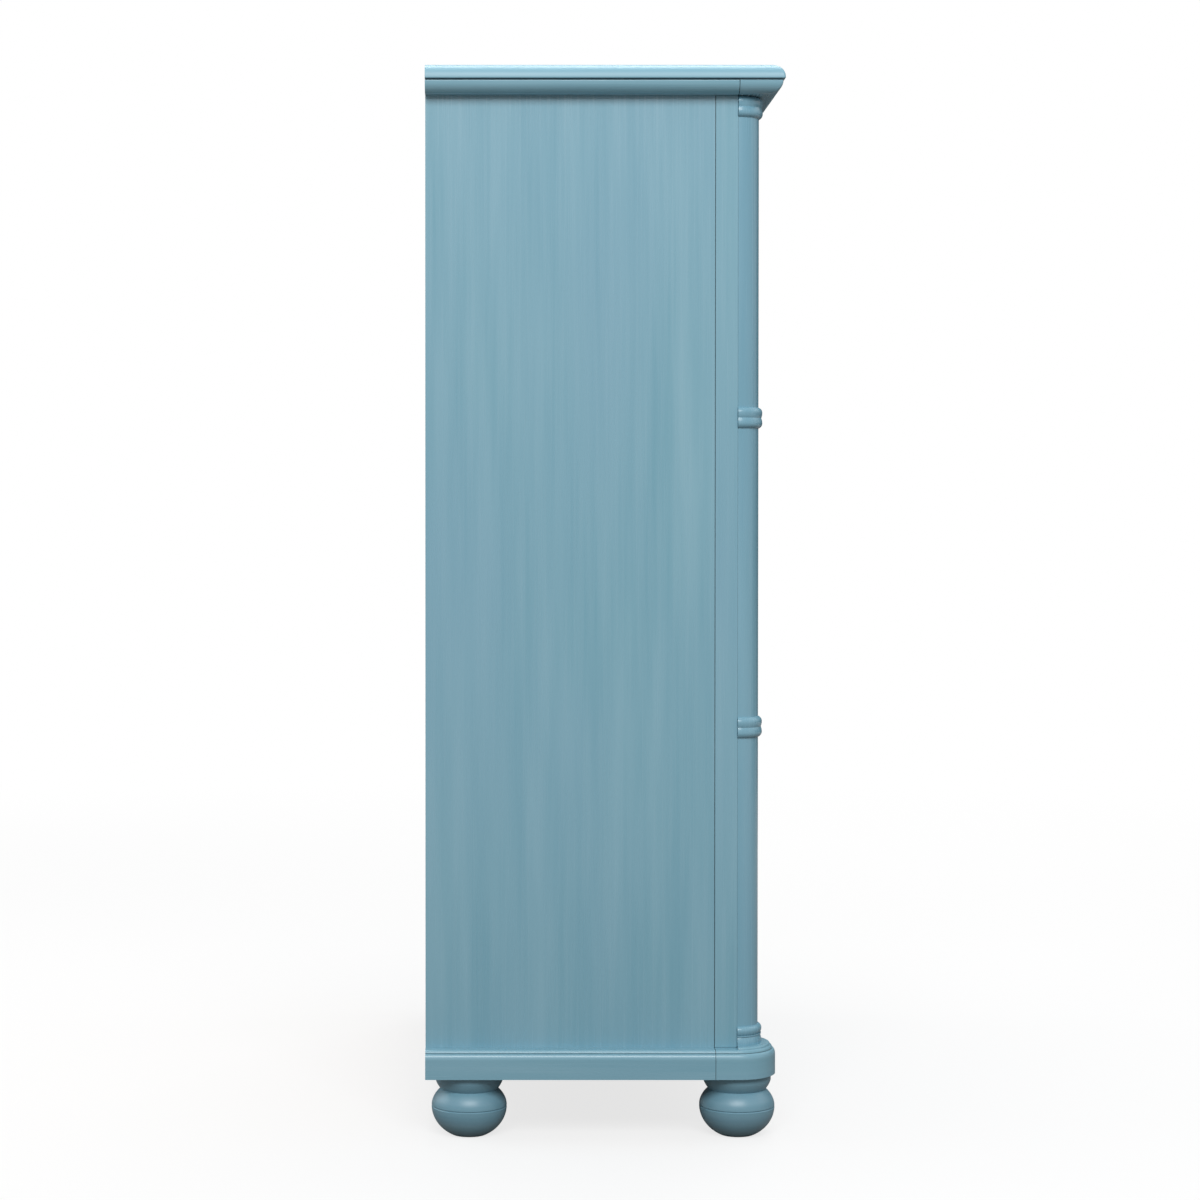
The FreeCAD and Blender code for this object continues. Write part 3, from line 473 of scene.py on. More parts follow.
# %% Wood grain group
PORE = (0.0011, 0.028)
PORE_RANGE = (0.56, 0.7)
TONE_PATCH = (0.05, 0.6)
GRAIN_SHIFT = 31.0
RING_ASIDE = 0.21
RING_SCALE = 26.0
GRAIN_DRAW = (1, 1, 0.07)
wood_grain, start, end = new_group(
    "Wood grain",
    [("Vector", "NodeSocketVector", None), ("Board", "NodeSocketFloat", 0.0)],
    ["Rings", "Pores", "Tone"])
tree = wood_grain
shift = math_node(tree, "MULTIPLY", (start, "Board"), GRAIN_SHIFT)
aside = add_node(tree, "ShaderNodeCombineXYZ", None, {"X": RING_ASIDE, "Y": (shift, 0), "Z": (shift, 0)})
moved = add_node(tree, "ShaderNodeVectorMath", {"operation": "ADD"}, {
    0: (start, "Vector"), 1: (aside, 0)})
drawn = add_node(tree, "ShaderNodeMapping", None, {"Vector": (moved, 0), "Scale": GRAIN_DRAW})
rings = add_node(tree, "ShaderNodeTexWave", {"wave_type": "RINGS", "rings_direction": "Z"}, {
    "Vector": (drawn, 0), "Scale": RING_SCALE, "Distortion": 5.0, "Detail": 3.0, "Detail Scale": 1.6})
pores = stretched_noise(tree, (start, "Vector"), (shift, 0), *PORE, 2.0)
tone = stretched_noise(tree, (start, "Vector"), (shift, 0), *TONE_PATCH, 2.0)
tree.links.new(rings.outputs["Fac"], end.inputs["Rings"])
tree.links.new(spread(tree, (pores, 0), *PORE_RANGE).outputs[0], end.inputs["Pores"])
tree.links.new(spread(tree, (tone, 0), *NOISE_RANGE).outputs[0], end.inputs["Tone"])
print("group:", wood_grain.name)


# %% Wood
RING_SHARE = 0.55
TONE_SHARE = 0.35
PORE_SHARE = 0.45
PLY_SHARE = 0.5
BARE_SHARE = 0.25
PLY_T = 0.0012
WOOD_ROUGH = (0.42, 0.56)
PORE_STRENGTH = 0.12
PORE_D = 0.0004


def wood(name, turn, pale, dark, pore_colour, ply_axis=None):
    """Lacquered wood with its grain along the turned Z; ply_axis names the way through plywood."""
    material, tree, shader = surface_shader(name)
    turned, board = along_grain(tree, turn)
    grain = add_node(tree, "ShaderNodeGroup", {"node_tree": wood_grain}, {
        "Vector": (turned, 0), "Board": (board, "Random")})
    edges = add_node(tree, "ShaderNodeGroup", {"node_tree": worn_and_lit_edges}, {
        "Vector": (turned, 0), "Width": EDGE_W})
    ring_share = math_node(tree, "MULTIPLY", (grain, "Rings"), RING_SHARE)
    ringed = mix_colour(tree, (ring_share, 0), pale, dark)
    tone_share = math_node(tree, "MULTIPLY", (grain, "Tone"), TONE_SHARE)
    toned = mix_colour(tree, (tone_share, 0), (ringed, 2), dark)
    pore_share = math_node(tree, "MULTIPLY", (grain, "Pores"), PORE_SHARE)
    colour = mix_colour(tree, (pore_share, 0), (toned, 2), pore_colour)
    if ply_axis:
        coords = add_node(tree, "ShaderNodeTexCoord")
        parts = add_node(tree, "ShaderNodeSeparateXYZ", None, {0: (coords, "Object")})
        plies = math_node(tree, "PINGPONG", (parts, ply_axis), PLY_T)
        dark_ply = spread(tree, (plies, 0), PLY_T * 0.45, PLY_T * 0.55)
        ply_share = math_node(tree, "MULTIPLY", (dark_ply, 0), PLY_SHARE)
        colour = mix_colour(tree, (ply_share, 0), (colour, 2), dark)
    edge_wear_and_sheen_share = math_node(tree, "MULTIPLY", (edges, "Edge"), BARE_SHARE)
    edge_wear_and_sheen = mix_colour(tree, (edge_wear_and_sheen_share, 0), (colour, 2), pale)
    tree.links.new(edge_wear_and_sheen.outputs[2], shader.inputs["Base Color"])
    gloss = add_node(tree, "ShaderNodeMapRange", None, {
        "Value": (grain, "Rings"), "To Min": WOOD_ROUGH[0], "To Max": WOOD_ROUGH[1]})
    tree.links.new(gloss.outputs[0], shader.inputs["Roughness"])
    relief = add_node(tree, "ShaderNodeBump", None, {
        "Height": (grain, "Pores"), "Strength": PORE_STRENGTH, "Distance": PORE_D})
    relief.invert = True
    tree.links.new(relief.outputs[0], shader.inputs["Normal"])
    return material


WOOD_COLOURS = ((0.56, 0.38, 0.215, 1), (0.41, 0.245, 0.12, 1), (0.27, 0.15, 0.07, 1))
PLY_COLOURS = ((0.60, 0.445, 0.28, 1), (0.47, 0.315, 0.175, 1), (0.34, 0.21, 0.11, 1))
wood_across = wood("wood_across", (0, QUARTER, 0), *WOOD_COLOURS)
wood_deep = wood("wood_deep", (QUARTER, 0, 0), *WOOD_COLOURS)
ply_upright = wood("ply_upright", (0, 0, 0), *PLY_COLOURS, ply_axis="Y")
ply_across = wood("ply_across", (0, QUARTER, 0), *PLY_COLOURS, ply_axis="Z")
print("woods:", [m.name for m in bpy.data.materials if m.name.startswith(("wood", "ply"))])

# %% [markdown]
# ## Metal
#
# Knobs are cast and darkened, then rubbed bright where fingers go. Hinges, pins and magnets are plain
# brushed steel. Both metals share one group for patches of tarnish and fine scratches.

# %% Tarnish group
PATCH_SCALE = 160.0
PATCH_RANGE = (0.35, 0.65)
SCRATCH = (0.00035, 0.012)
SCRATCH_SHIFT = 3.0
tarnish, start, end = new_group(
    "Tarnish",
    [("Vector", "NodeSocketVector", None)],
    ["Patches", "Scratches"])
tree = tarnish
patches = add_node(tree, "ShaderNodeTexNoise", None, {
    "Vector": (start, "Vector"), "Scale": PATCH_SCALE, "Detail": 5.0})
scratches = stretched_noise(tree, (start, "Vector"), SCRATCH_SHIFT, *SCRATCH, 2.0)
tree.links.new(spread(tree, (patches, 0), *PATCH_RANGE).outputs[0], end.inputs["Patches"])
tree.links.new(spread(tree, (scratches, 0), *NOISE_RANGE).outputs[0], end.inputs["Scratches"])
print("group:", tarnish.name)


# %% Metals
SCRATCH_STRENGTH = 0.08
SCRATCH_D = 0.0002


def metal(name, dark, bright, smooth, rough, edge_width):
    """A metal whose patches are dull and whose edges are rubbed bright."""
    material, tree, shader = surface_shader(name)
    coords = add_node(tree, "ShaderNodeTexCoord")
    marks = add_node(tree, "ShaderNodeGroup", {"node_tree": tarnish}, {"Vector": (coords, "Object")})
    edges = add_node(tree, "ShaderNodeGroup", {"node_tree": worn_and_lit_edges}, {
        "Vector": (coords, "Object"), "Width": edge_width})
    patched = mix_colour(tree, (marks, "Patches"), dark, bright)
    edge_wear_and_sheen = mix_colour(tree, (edges, "Edge"), (patched, 2), bright)
    tree.links.new(edge_wear_and_sheen.outputs[2], shader.inputs["Base Color"])
    dull = math_node(tree, "ADD", (marks, "Patches"), (marks, "Scratches"))
    gloss = add_node(tree, "ShaderNodeMapRange", None, {
        "Value": (dull, 0), "From Max": 2.0, "To Min": smooth, "To Max": rough})
    tree.links.new(gloss.outputs[0], shader.inputs["Roughness"])
    relief = add_node(tree, "ShaderNodeBump", None, {
        "Height": (marks, "Scratches"), "Strength": SCRATCH_STRENGTH, "Distance": SCRATCH_D})
    tree.links.new(relief.outputs[0], shader.inputs["Normal"])
    shader.inputs["Metallic"].default_value = 1.0
    return material


pewter = metal("pewter", (0.13, 0.125, 0.115, 1), (0.34, 0.325, 0.30, 1), 0.26, 0.46, 0.001)
steel = metal("steel", (0.42, 0.42, 0.43, 1), (0.62, 0.62, 0.63, 1), 0.24, 0.42, 0.0006)
print("metals:", pewter.name, steel.name)

# %% [markdown]
# ## Softer edges on the boards
#
# No sawn board has a perfectly sharp arris: it is eased with a block of sandpaper before painting, and the
# paint rounds it further. A Bevel modifier does this on the solids without touching them. The solid's faces
# come in separate triangles, so they are first sewn together and merged into whole faces.


# %% Edge helpers
def shape_group(name):
    """An empty geometry node group for a modifier."""
    group = bpy.data.node_groups.new(name, "GeometryNodeTree")
    group.interface.new_socket("Geometry", in_out="INPUT", socket_type="NodeSocketGeometry")
    group.interface.new_socket("Geometry", in_out="OUTPUT", socket_type="NodeSocketGeometry")
    return group, group.nodes.new("NodeGroupInput"), group.nodes.new("NodeGroupOutput")


SEW_GAP = 0.00001
sewn, start, end = shape_group("Sewn faces")
bare = add_node(sewn, "GeometryNodeRemoveAttribute", None, {
    "Geometry": (start, 0), "Name": "custom_normal"})
joined = add_node(sewn, "GeometryNodeMergeByDistance", None, {"Geometry": (bare, 0), "Distance": SEW_GAP})
sewn.links.new(joined.outputs[0], end.inputs[0])

SMOOTH_LIMIT = math.radians(42)
smooth, start, end = shape_group("Smooth below an angle")
angle = add_node(smooth, "GeometryNodeInputMeshEdgeAngle")
low = add_node(smooth, "FunctionNodeCompare", {"operation": "LESS_EQUAL"}, {0: (angle, 0), 1: SMOOTH_LIMIT})
faces = add_node(smooth, "GeometryNodeSetShadeSmooth", {"domain": "FACE"}, {"Geometry": (start, 0)})
edges = add_node(smooth, "GeometryNodeSetShadeSmooth", {"domain": "EDGE"}, {
    "Geometry": (faces, 0), "Shade Smooth": (low, 0)})
smooth.links.new(edges.outputs[0], end.inputs[0])


FLAT_LIMIT = math.radians(0.5)
EASE_LIMIT = math.radians(46)


def ease_edges(piece, width, solid=False):
    """Round the sharp edges of a piece by width; a solid from the frame is sewn together first."""
    if solid:
        piece.modifiers.new("sew", "NODES").node_group = sewn
        flat = piece.modifiers.new("whole faces", "DECIMATE")
        flat.decimate_type = "DISSOLVE"
        flat.angle_limit = FLAT_LIMIT
    if width:
        bevel = piece.modifiers.new("eased", "BEVEL")
        bevel.width = width
        bevel.segments = 2
        bevel.limit_method = "ANGLE"
        bevel.angle_limit = EASE_LIMIT
    piece.modifiers.new("smooth", "NODES").node_group = smooth
    if width:
        true_faces = piece.modifiers.new("true flat faces", "WEIGHTED_NORMAL")
        true_faces.keep_sharp = True


print("edge groups:", sewn.name, smooth.name)

# %% [markdown]
# ## Dressing the boards
#
# Each board that keeps its solid gets the finish of its slot in the record, with strokes or grain along its
# own length, and an eased edge. Edges of the drawer boxes are crisper than those of painted boards.

# %% Board finishes
UPRIGHT_WORDS = ("side_panel", "post_", "column", "stile", "door_panel")
DEEP_WORDS = ("cornice_left", "cornice_right", "base_left", "base_right", "drawer_sides", "runners")
PAINT_EASE = 0.0007
WOOD_EASE = 0.0004


def has_word(node, words):
    """True if one of the words is in the node's name."""
    return any(word in node for word in words)


def finish_for(node):
    """The material and the width of the eased edge for a node of the frame."""
    slot = slot_of[node]
    if slot == "hinge_steel":
        return steel, 0
    if slot == "knob_metal":
        return pewter, 0
    if slot == "plywood":
        return (ply_upright if node == "back_panel" else ply_across), WOOD_EASE / 2
    if slot == "drawer_wood":
        return (wood_deep if has_word(node, DEEP_WORDS) else wood_across), WOOD_EASE
    if has_word(node, UPRIGHT_WORDS):
        return paint_upright, PAINT_EASE
    return (paint_deep if has_word(node, DEEP_WORDS) else paint_across), PAINT_EASE


for node, board in frame["nodes"].items():
    material, ease = finish_for(node)
    board.data.materials.clear()
    board.data.materials.append(material)
    ease_edges(board, ease, solid=True)
print("dressed", len(frame["nodes"]), "solids")

# %% [markdown]
# ## A skin over outlines
#
# Turned legs, half columns, moulded boards and plinths have one thing in common: a closed outline that
# changes from level to level. So one helper skins a stack of outlines, and each piece only has to say what
# its outline is at each level. Arcs come from their centre and radius, or from three points.


# %% Shape helpers
def arc(centre_u, centre_v, radius_u, radius_v, first, last, steps):
    """Points of an arc from one angle to another in degrees, both ends included."""
    points = []
    for i in range(steps + 1):
        angle = math.radians(first + (last - first) * i / steps)
        points.append((centre_u + radius_u * math.cos(angle), centre_v + radius_v * math.sin(angle)))
    return points


def arc_through(first, middle, last, steps):
    """Points of the circle arc through three points, both ends included."""
    (ax, ay), (bx, by), (cx, cy) = first, middle, last
    d = 2 * (ax * (by - cy) + bx * (cy - ay) + cx * (ay - by))
    a2 = ax * ax + ay * ay
    b2 = bx * bx + by * by
    c2 = cx * cx + cy * cy
    ux = (a2 * (by - cy) + b2 * (cy - ay) + c2 * (ay - by)) / d
    uy = (a2 * (cx - bx) + b2 * (ax - cx) + c2 * (bx - ax)) / d
    start = math.degrees(math.atan2(ay - uy, ax - ux))
    sweep = math.degrees(math.atan2(cy - uy, cx - ux)) - start
    sweep = (sweep + 180) % 360 - 180
    radius = math.hypot(ax - ux, ay - uy)
    return arc(ux, uy, radius, radius, start, start + sweep, steps)


def skin(outlines):
    """Vertices and faces over a stack of closed outlines, closed at both ends."""
    count = len(outlines[0])
    vertices = [point for outline in outlines for point in outline]
    faces = [tuple(reversed(range(count))), tuple(range(len(vertices) - count, len(vertices)))]
    for level in range(len(outlines) - 1):
        for i in range(count):
            here = level * count + i
            ahead = level * count + (i + 1) % count
            faces.append((here, ahead, ahead + count, here + count))
    return vertices, faces


def add_piece(name, skins, body, material, ease, replaced=()):
    """One object from one or more skins, riding on a body of the frame."""
    vertices = []
    faces = []
    for points, polygons in skins:
        base = len(vertices)
        vertices += points
        faces += [tuple(base + i for i in polygon) for polygon in polygons]
    mesh = bpy.data.meshes.new(name)
    mesh.from_pydata(vertices, [], faces)
    mesh.update()
    piece = bpy.data.objects.new(name, mesh)
    scene.collection.objects.link(piece)
    mesh.materials.append(material)
    ease_edges(piece, ease)
    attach(piece, body)
    if replaced:
        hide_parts(*replaced)
    return piece


# %% [markdown]
# ## Half columns
#
# Each column is turned whole, sawn in two and glued to the post, so its section is a half circle. Four pairs
# of rings sit on it. A ring is an arc that stands upright at its fullest point and meets the shaft lower on
# its curve. The lowest pair is taller at the foot: its first ring stands on the plinth, and a thin fillet
# parts it from the second.

# %% Columns
COLUMN_R = 0.032
RING_CREASE_R = 0.036
RING_PAIR_H = 0.030
RING_PAIRS = 4
LOW_RING_H = 0.0152
LOW_RING_FULL_H = 0.005
FILLET_H = 0.0018
FILLET_R = 0.0368
FILLET_CREASE_R = 0.0352
SECOND_RING_H = 0.0127
ROUND_STEPS = 64


def half_bead(full_r, full_z, end_r, end_z, steps):
    """Points of a ring from its fullest point to where it meets the next surface."""
    rise = abs(end_z - full_z)
    fall = full_r - end_r
    radius = (rise ** 2 + fall ** 2) / (2 * fall)
    sweep = math.degrees(math.asin(rise / radius))
    points = arc(full_r - radius, 0, radius, radius, 0, sweep, steps)
    way = 1 if end_z > full_z else -1
    return [(r, full_z + way * z) for r, z in points]


def foot_rings(low_z, ring_r):
    """Radius and height of the lowest pair: a tall ring on the plinth, a thin fillet and a round ring."""
    fillet_z = low_z + LOW_RING_H
    crease_z = fillet_z + FILLET_H
    full_z = crease_z + SECOND_RING_H / 2
    profile = [(ring_r, low_z)]
    profile += half_bead(ring_r, low_z + LOW_RING_FULL_H, FILLET_CREASE_R, fillet_z, 8)
    profile += [(FILLET_R, fillet_z), (FILLET_R, crease_z)]
    profile += reversed(half_bead(ring_r, full_z, FILLET_CREASE_R, crease_z, 8))
    profile += arc(COLUMN_R, full_z, ring_r - COLUMN_R, SECOND_RING_H / 2, 0, 90, 8)[1:]
    return profile


def column_profile(low_z, high_z, ring_r):
    """Radius and height of a column from bottom to top."""
    profile = foot_rings(low_z, ring_r)
    pitch = (high_z - low_z - RING_PAIR_H) / (RING_PAIRS - 1)
    for i in range(1, RING_PAIRS):
        crease_z = low_z + RING_PAIR_H / 2 + i * pitch
        for side in (-1, 1):
            full_z = crease_z + side * RING_PAIR_H / 4
            outer = half_bead(ring_r, full_z, COLUMN_R, crease_z + side * RING_PAIR_H / 2, 8)
            inner = half_bead(ring_r, full_z, RING_CREASE_R, crease_z, 8)
            profile += sorted(outer + inner[1:], key=lambda point: point[1])
    return profile


for side in ("left", "right"):
    low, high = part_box("column_" + side)
    middle_x = (low.x + high.x) / 2
    ring_r = (high.x - low.x) / 2
    levels = []
    for r, z in column_profile(low.z, high.z, ring_r):
        half = arc(middle_x, high.y, r, r, 180, 360, ROUND_STEPS)
        levels.append([(x, y, z) for x, y in half])
    add_piece("half_column_" + side, [skin(levels)], "case", paint_column_shaded, 0,
              ["column_" + side])
    print("half_column_" + side, len(levels), "levels, ring radius", round(ring_r, 4))

# %% [markdown]
# ## Bun feet
#
# A bun foot is turned from one block: a flat pad, a full belly with a scribed groove on its widest line, a
# hollow neck and a collar under the base. The belly is two part ellipses. Strokes go around it, as the brush
# did while the foot was turning.

# %% Feet
FOOT_R = 0.054
FOOT_PAD_R = 0.025
FOOT_EQUATOR_Z = 0.0412
FOOT_RISE = 0.0376
FOOT_GROOVE = 0.0013
FOOT_NECK_R = 0.041
FOOT_COLLAR_R = 0.0486
FOOT_COVE_H = 0.0135
COVE_SWELL = 0.62
COVE_RISE = 0.48
FOOT_STEPS = 96


def foot_profile(top_z):
    """Radius and height of a foot from the pad up to the base."""
    drop = FOOT_EQUATOR_Z / math.sqrt(1 - (FOOT_PAD_R / FOOT_R) ** 2)
    pad_angle = math.degrees(math.asin(FOOT_EQUATOR_Z / drop))
    groove_low = math.degrees(math.asin(FOOT_GROOVE / drop))
    groove_high = math.degrees(math.asin(FOOT_GROOVE / FOOT_RISE))
    neck_angle = math.degrees(math.acos(FOOT_NECK_R / FOOT_R))
    profile = arc(0, FOOT_EQUATOR_Z, FOOT_R, drop, -pad_angle, -groove_low, 22)
    profile.append((FOOT_R - FOOT_GROOVE, FOOT_EQUATOR_Z))
    profile += arc(0, FOOT_EQUATOR_Z, FOOT_R, FOOT_RISE, groove_high, neck_angle, 16)
    neck = profile[-1]
    swell = FOOT_COLLAR_R - FOOT_NECK_R
    cove_middle = (FOOT_NECK_R + COVE_SWELL * swell, neck[1] + COVE_RISE * FOOT_COVE_H)
    profile += arc_through(neck, cove_middle, (FOOT_COLLAR_R, neck[1] + FOOT_COVE_H), 8)[1:]
    profile.append((FOOT_COLLAR_R, top_z))
    return profile


def turned(profile, x, y):
    """A full turning about an upright axis."""
    levels = []
    for r, z in profile:
        ring = arc(x, y, r, r, 0, 360, FOOT_STEPS)[:-1]
        levels.append([(u, v, z) for u, v in ring])
    return skin(levels)


feet_low, feet_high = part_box("bun_feet")
plinth_low, plinth_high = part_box("plinth_left")
foot_top = plinth_low.z
for x_name, x in (("left", feet_low.x + FOOT_R), ("right", feet_high.x - FOOT_R)):
    for y_name, y in (("front", feet_low.y + FOOT_R), ("rear", feet_high.y - FOOT_R)):
        add_piece("foot_%s_%s" % (y_name, x_name), [turned(foot_profile(foot_top), x, y)], "case",
                  paint_feet_shaded, 0, ["bun_feet"])
print("four feet,", round(foot_top, 4), "m high")

# %% [markdown]
# ## Mouldings
#
# A moulding is one profile carried along a board. The profile is written as pairs of inset and height, from
# the bottom up, so the same pairs serve a straight run, a board with mitred corners and a plinth that goes
# round a half circle.


# %% Moulding helpers
def convex(radius_in, radius_up, foot_z, start_inset, steps):
    """A quarter round that leaves the upright face and leans in."""
    return [(start_inset + radius_in - u, foot_z + v)
            for u, v in arc(0, 0, radius_in, radius_up, 0, 90, steps)]


def straight_run(edge, outer, inner, start, end, axis):
    """A moulded board between two ends; outer and inner lie across the run."""
    way = 1 if inner > outer else -1
    section = [(outer + way * inset, z) for inset, z in edge]
    section += [(inner, edge[-1][1]), (inner, edge[0][1])]
    if axis == "Y":
        return skin([[(u, y, z) for u, z in section] for y in (start, end)])
    return skin([[(x, u, z) for u, z in section] for x in (start, end)])


CORNER_R = 0.003


def three_sided(edge, low, high):
    """A board with its moulding along the front and both ends, and a straight back."""
    levels = []
    for inset, z in edge:
        x0 = low.x + inset
        x1 = high.x - inset
        y0 = low.y + inset
        plan = [(x0, high.y)]
        plan += arc(x0 + CORNER_R, y0 + CORNER_R, CORNER_R, CORNER_R, 180, 270, 6)
        plan += arc(x1 - CORNER_R, y0 + CORNER_R, CORNER_R, CORNER_R, 270, 360, 6)
        plan.append((x1, high.y))
        levels.append([(x, y, z) for x, y in plan])
    return skin(levels)


# %% Top board
TOP_ROUND = 0.019
TOP_EASE = 0.0015
low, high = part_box("top_board")
top_edge = [(TOP_EASE - u, low.z + TOP_EASE - v)
            for u, v in reversed(arc(0, 0, TOP_EASE, TOP_EASE, 0, 90, 4))]
top_edge += convex(TOP_ROUND, TOP_ROUND, high.z - TOP_ROUND, 0, 18)
add_piece("top", [three_sided(top_edge, low, high)], "case", paint_top, PAINT_EASE,
          ["top_board"])
print("top board", [round(v, 3) for v in high - low])

# %% Cornice
CORNICE_ROUND = 0.018
SHADOW_GAP_D = 0.004
JOINT_GAP = 0.0007
low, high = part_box("cornice_front")
hollow_z = low.z + CORNICE_ROUND
cornice_edge = [(CORNICE_ROUND - u, hollow_z - v)
                for u, v in reversed(arc(0, 0, CORNICE_ROUND, CORNICE_ROUND, 0, 90, 16))]
cornice_edge += [(SHADOW_GAP_D, hollow_z), (SHADOW_GAP_D, high.z)]
add_piece("front_cornice", [three_sided(cornice_edge, low, high)], "case", paint_across,
          PAINT_EASE, ["cornice_front"])
for side, outer in (("left", low.x), ("right", high.x)):
    side_low, side_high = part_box("cornice_" + side)
    inner = side_high.x if side == "left" else side_low.x
    run = straight_run(cornice_edge, outer, inner, side_low.y + JOINT_GAP, side_high.y, "Y")
    add_piece(side + "_cornice", [run], "case", paint_deep, PAINT_EASE, ["cornice_" + side])
print("cornice", len(cornice_edge), "points in its profile")

# %% [markdown]
# ## Base moulding and plinths
#
# The base is a plain band with a rounded shoulder and a bead above it, set off by a fine quirk. Under each
# column it swells into a plinth with a half-round front and a thin cap around the column's foot. Side boards
# butt against the plinths, and that joint shows as a fine line. The front board runs a little way into both
# plinths.

# %% Base
BAND_H = 0.036
BAND_ROUND_H = 0.0085
BASE_STEP = 0.0044
BEAD_R = 0.0046
QUIRK_D = 0.0016
QUIRK_H = 0.0009
INTO_PLINTH = 0.006
CAP_R = 0.0495
CAP_H = 0.003
low, high = plinth_low, plinth_high
base_edge = [(0, low.z)]
base_edge += convex(BASE_STEP, BAND_ROUND_H, low.z + BAND_H - BAND_ROUND_H, 0, 10)
quirk_z = low.z + BAND_H
quirk_in = BASE_STEP + QUIRK_D
base_edge += [(quirk_in, quirk_z), (quirk_in, quirk_z + QUIRK_H), (BASE_STEP, quirk_z + QUIRK_H)]
base_edge += convex(BEAD_R, BEAD_R, high.z - BEAD_R, BASE_STEP, 10)
plinth_r = (high.x - low.x) / 2
face_y = low.y + plinth_r
for side in ("left", "right"):
    low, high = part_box("plinth_" + side)
    middle_x = (low.x + high.x) / 2
    levels = []
    for inset, z in base_edge:
        r = plinth_r - inset
        plan = [(middle_x - r, high.y)]
        plan += arc(middle_x, face_y, r, r, 180, 360, ROUND_STEPS)
        plan.append((middle_x + r, high.y))
        levels.append([(x, y, z) for x, y in plan])
    cap_levels = []
    for inset, z in [(0, high.z - CAP_H)] + convex(CAP_H, CAP_H, high.z, 0, 8):
        half = arc(middle_x, face_y, CAP_R - inset, CAP_R - inset, 180, 360, ROUND_STEPS)
        cap_levels.append([(x, y, z) for x, y in half])
    add_piece("round_plinth_" + side, [skin(levels), skin(cap_levels)], "case", paint_turned,
              PAINT_EASE, ["plinth_" + side])
    side_low, side_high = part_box("base_" + side)
    outer = side_low.x if side == "left" else side_high.x
    inner = side_high.x if side == "left" else side_low.x
    run = straight_run(base_edge, outer, inner, side_low.y + JOINT_GAP, side_high.y, "Y")
    add_piece(side + "_base", [run], "case", paint_deep, PAINT_EASE, ["base_" + side])
low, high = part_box("base_front")
reach = plinth_high.x - INTO_PLINTH
run = straight_run(base_edge, low.y, high.y, reach, -reach, "X")
add_piece("front_base", [run], "case", paint_across, PAINT_EASE, ["base_front"])
print("base profile", len(base_edge), "points, plinth radius", round(plinth_r, 4))

# %% [markdown]
# ## Knobs
#
# The knobs are turned metal: a foot on the wood, a slim neck, a swelling back and a shallow dome with a
# narrow rim. They are spun about an axis that points to the front.

# %% Knobs
KNOB_R = 0.016
KNOB_H = 0.027
KNOB_RIM_H = 0.002
KNOB_FOOT_R = 0.011
KNOB_FOOT_H = 0.0025
KNOB_NECK_R = 0.006
KNOB_NECK_AT = 0.36
KNOB_FULL_AT = 0.62
HOLLOW_R = KNOB_NECK_R + 0.0012
HOLLOW_AT = 0.3
SWELL_R = KNOB_R * 0.82
SWELL_AT = 0.4
DOME_TIP_R = 0.0003
KNOB_STEPS = 56
KNOB_EASE = 0.0002


def knob_profile():
    """Radius and distance from the wood, from the foot to the dome."""
    neck = (KNOB_NECK_R, KNOB_H * KNOB_NECK_AT)
    full = (KNOB_R, KNOB_H * KNOB_FULL_AT)
    rim_h = full[1] + KNOB_RIM_H
    foot = (KNOB_FOOT_R, KNOB_FOOT_H)
    hollow = (HOLLOW_R, foot[1] + (neck[1] - foot[1]) * HOLLOW_AT)
    swell = (SWELL_R, neck[1] + (full[1] - neck[1]) * SWELL_AT)
    cap_h = KNOB_H - rim_h
    cap_r = (KNOB_R ** 2 + cap_h ** 2) / (2 * cap_h)
    first = 90 - math.degrees(math.asin(KNOB_R / cap_r))
    last = 90 - math.degrees(math.asin(DOME_TIP_R / cap_r))
    profile = [(KNOB_FOOT_R, 0)]
    profile += arc_through(foot, hollow, neck, 8)
    profile += arc_through(neck, swell, full, 10)[1:]
    profile += arc(0, KNOB_H - cap_r, cap_r, cap_r, first, last, 14)
    return profile


def spun_forward(profile, x, y, z):
    """A turning whose axis points to the front."""
    levels = []
    for r, out in profile:
        ring = arc(x, z, r, r, 360, 0, KNOB_STEPS)[:-1]
        levels.append([(u, y - out, v) for u, v in ring])
    return skin(levels)


for node in [n for n in slot_of if slot_of[n] == "knob_metal"]:
    low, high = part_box(node)
    middle_z = (low.z + high.z) / 2
    places = sorted({round(low.x + KNOB_R, 5), round(high.x - KNOB_R, 5)})
    wood_y = low.y + KNOB_H
    skins = [spun_forward(knob_profile(), x, wood_y, middle_z) for x in places]
    body = next(b for b in frame["bodies"] if node.startswith(b + "_"))
    add_piece(node + "_turned", skins, body, pewter, KNOB_EASE, [node])
    print(node, "at x", places)

# %% [markdown]
# ## Screws
#
# Each hinge leaf is held by three small screws, and the plywood back by a row of screws along each side. A
# screw head is a shallow dome with a slot sawn across it. The slot is part of the outline: at each level the
# head is two half discs with a gap between them. Every slot is turned another way, as a hand leaves them.

# %% Screw heads
SCREW_SINK = 0.0001
SLOT_SHARE = 0.16
# Shares of the head's radius and rise, from the rim to the top.
HEAD_DOME = ((0.96, 0.45), (0.78, 0.85), (0.5, 1.0))


def half_head(radius, rise):
    """One half of a slotted head; its flat side stands off the middle by half the slot."""
    slot_half = radius * SLOT_SHARE
    outline = [(radius, -SCREW_SINK)]
    outline += [(radius * share, rise * part) for share, part in HEAD_DOME]
    levels = []
    for r, height in outline:
        lift = math.degrees(math.asin(slot_half / r))
        levels.append([(u, v, height) for u, v in arc(0, 0, r, r, lift, 180 - lift, 14)])
    return skin(levels)


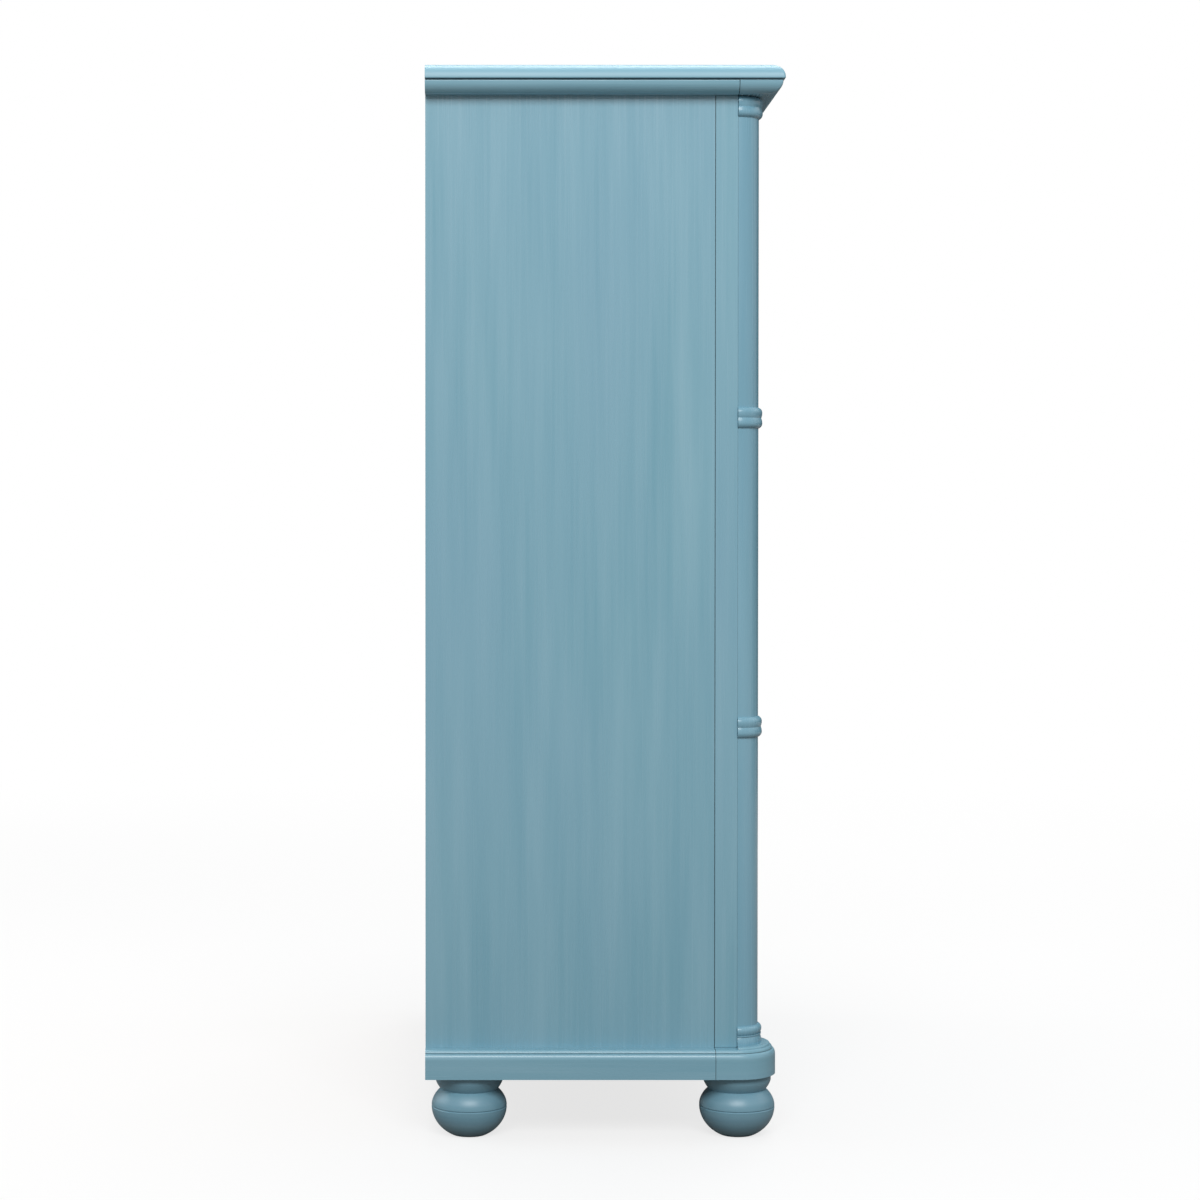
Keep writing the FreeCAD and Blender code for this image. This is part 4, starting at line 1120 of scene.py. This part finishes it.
def screw_head(centre, out, across, radius, rise, turn):
    """A slotted screw head at a place; out is the way it faces and across a way on the surface."""
    up = out.cross(across)
    skins = []
    for half_turn in (turn, turn + 180):
        points, faces = half_head(radius, rise)
        spin = math.radians(half_turn)
        placed = []
        for u, v, height in points:
            a = u * math.cos(spin) - v * math.sin(spin)
            b = u * math.sin(spin) + v * math.cos(spin)
            placed.append(tuple(centre + across * a + up * b + out * height))
        skins.append((placed, faces))
    return skins


# %% Hinge screws
HINGE_H = 0.064
HINGES = 3
LEAF_T = 0.0012
LEAF_SCREW_R = 0.0024
LEAF_SCREW_RISE = 0.00022
LEAF_SCREW_IN = 0.008
# Place along the leaf as a share of its height, and step out of line, for each screw of a leaf.
LEAF_SCREWS = ((0.2, -0.001), (0.5, 0.004), (0.8, -0.001))
FIRST_TURN = 25
TURN_PER_LEAF = 40
TURN_PER_SCREW = 70
ALONG_Y = Vector((0, 1, 0))
row_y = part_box("left_door_hinge_leaves")[1].y - LEAF_SCREW_IN


def leaf_screws(node, out_x, face_x):
    """The screws of all leaves of a node, on the face at face_x."""
    low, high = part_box(node)
    pitch = (high.z - low.z - HINGE_H) / (HINGES - 1)
    out = Vector((out_x, 0, 0))
    skins = []
    for leaf in range(HINGES):
        for i, (share, step) in enumerate(LEAF_SCREWS):
            centre = Vector((face_x, row_y + step, low.z + leaf * pitch + HINGE_H * share))
            turn = FIRST_TURN + TURN_PER_LEAF * leaf + TURN_PER_SCREW * i
            skins += screw_head(centre, out, ALONG_Y, LEAF_SCREW_R, LEAF_SCREW_RISE, turn)
    return skins


opening_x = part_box("post_left")[1].x
door_edge_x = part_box("left_door_hinge_stile")[0].x
for side, sign in (("left", 1), ("right", -1)):
    frame_face = sign * (opening_x + LEAF_T)
    add_piece("frame_screws_" + side, leaf_screws("frame_hinge_leaves", sign, frame_face), "case", steel,
              0)
    door_face = sign * (door_edge_x - LEAF_T)
    door = side + "_door"
    add_piece(door + "_screws", leaf_screws(door + "_hinge_leaves", -sign, door_face), door, steel,
              0)
    print(side, "screws: frame leaf at x", round(frame_face, 4), "door leaf at x", round(door_face, 4))

# %% Back screws
BACK_SCREW_R = 0.0038
BACK_SCREW_RISE = 0.0006
BACK_SCREW_SIDE_IN = 0.005
BACK_SCREW_END_IN = 0.010
BACK_SCREW_ROWS = 10
FIRST_BACK_TURN = 17
TURN_PER_ROW = 53
ALONG_X = Vector((1, 0, 0))
low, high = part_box("back_panel")
run_h = high.z - low.z - 2 * BACK_SCREW_END_IN
skins = []
for i in range(BACK_SCREW_ROWS):
    z = low.z + BACK_SCREW_END_IN + run_h * i / (BACK_SCREW_ROWS - 1)
    for x in (low.x + BACK_SCREW_SIDE_IN, high.x - BACK_SCREW_SIDE_IN):
        skins += screw_head(Vector((x, high.y, z)), ALONG_Y, ALONG_X, BACK_SCREW_R, BACK_SCREW_RISE,
                            FIRST_BACK_TURN + TURN_PER_ROW * i)
add_piece("back_screws", skins, "case", steel, 0)
print("back screws", BACK_SCREW_ROWS * 2, "at y", round(high.y, 4))
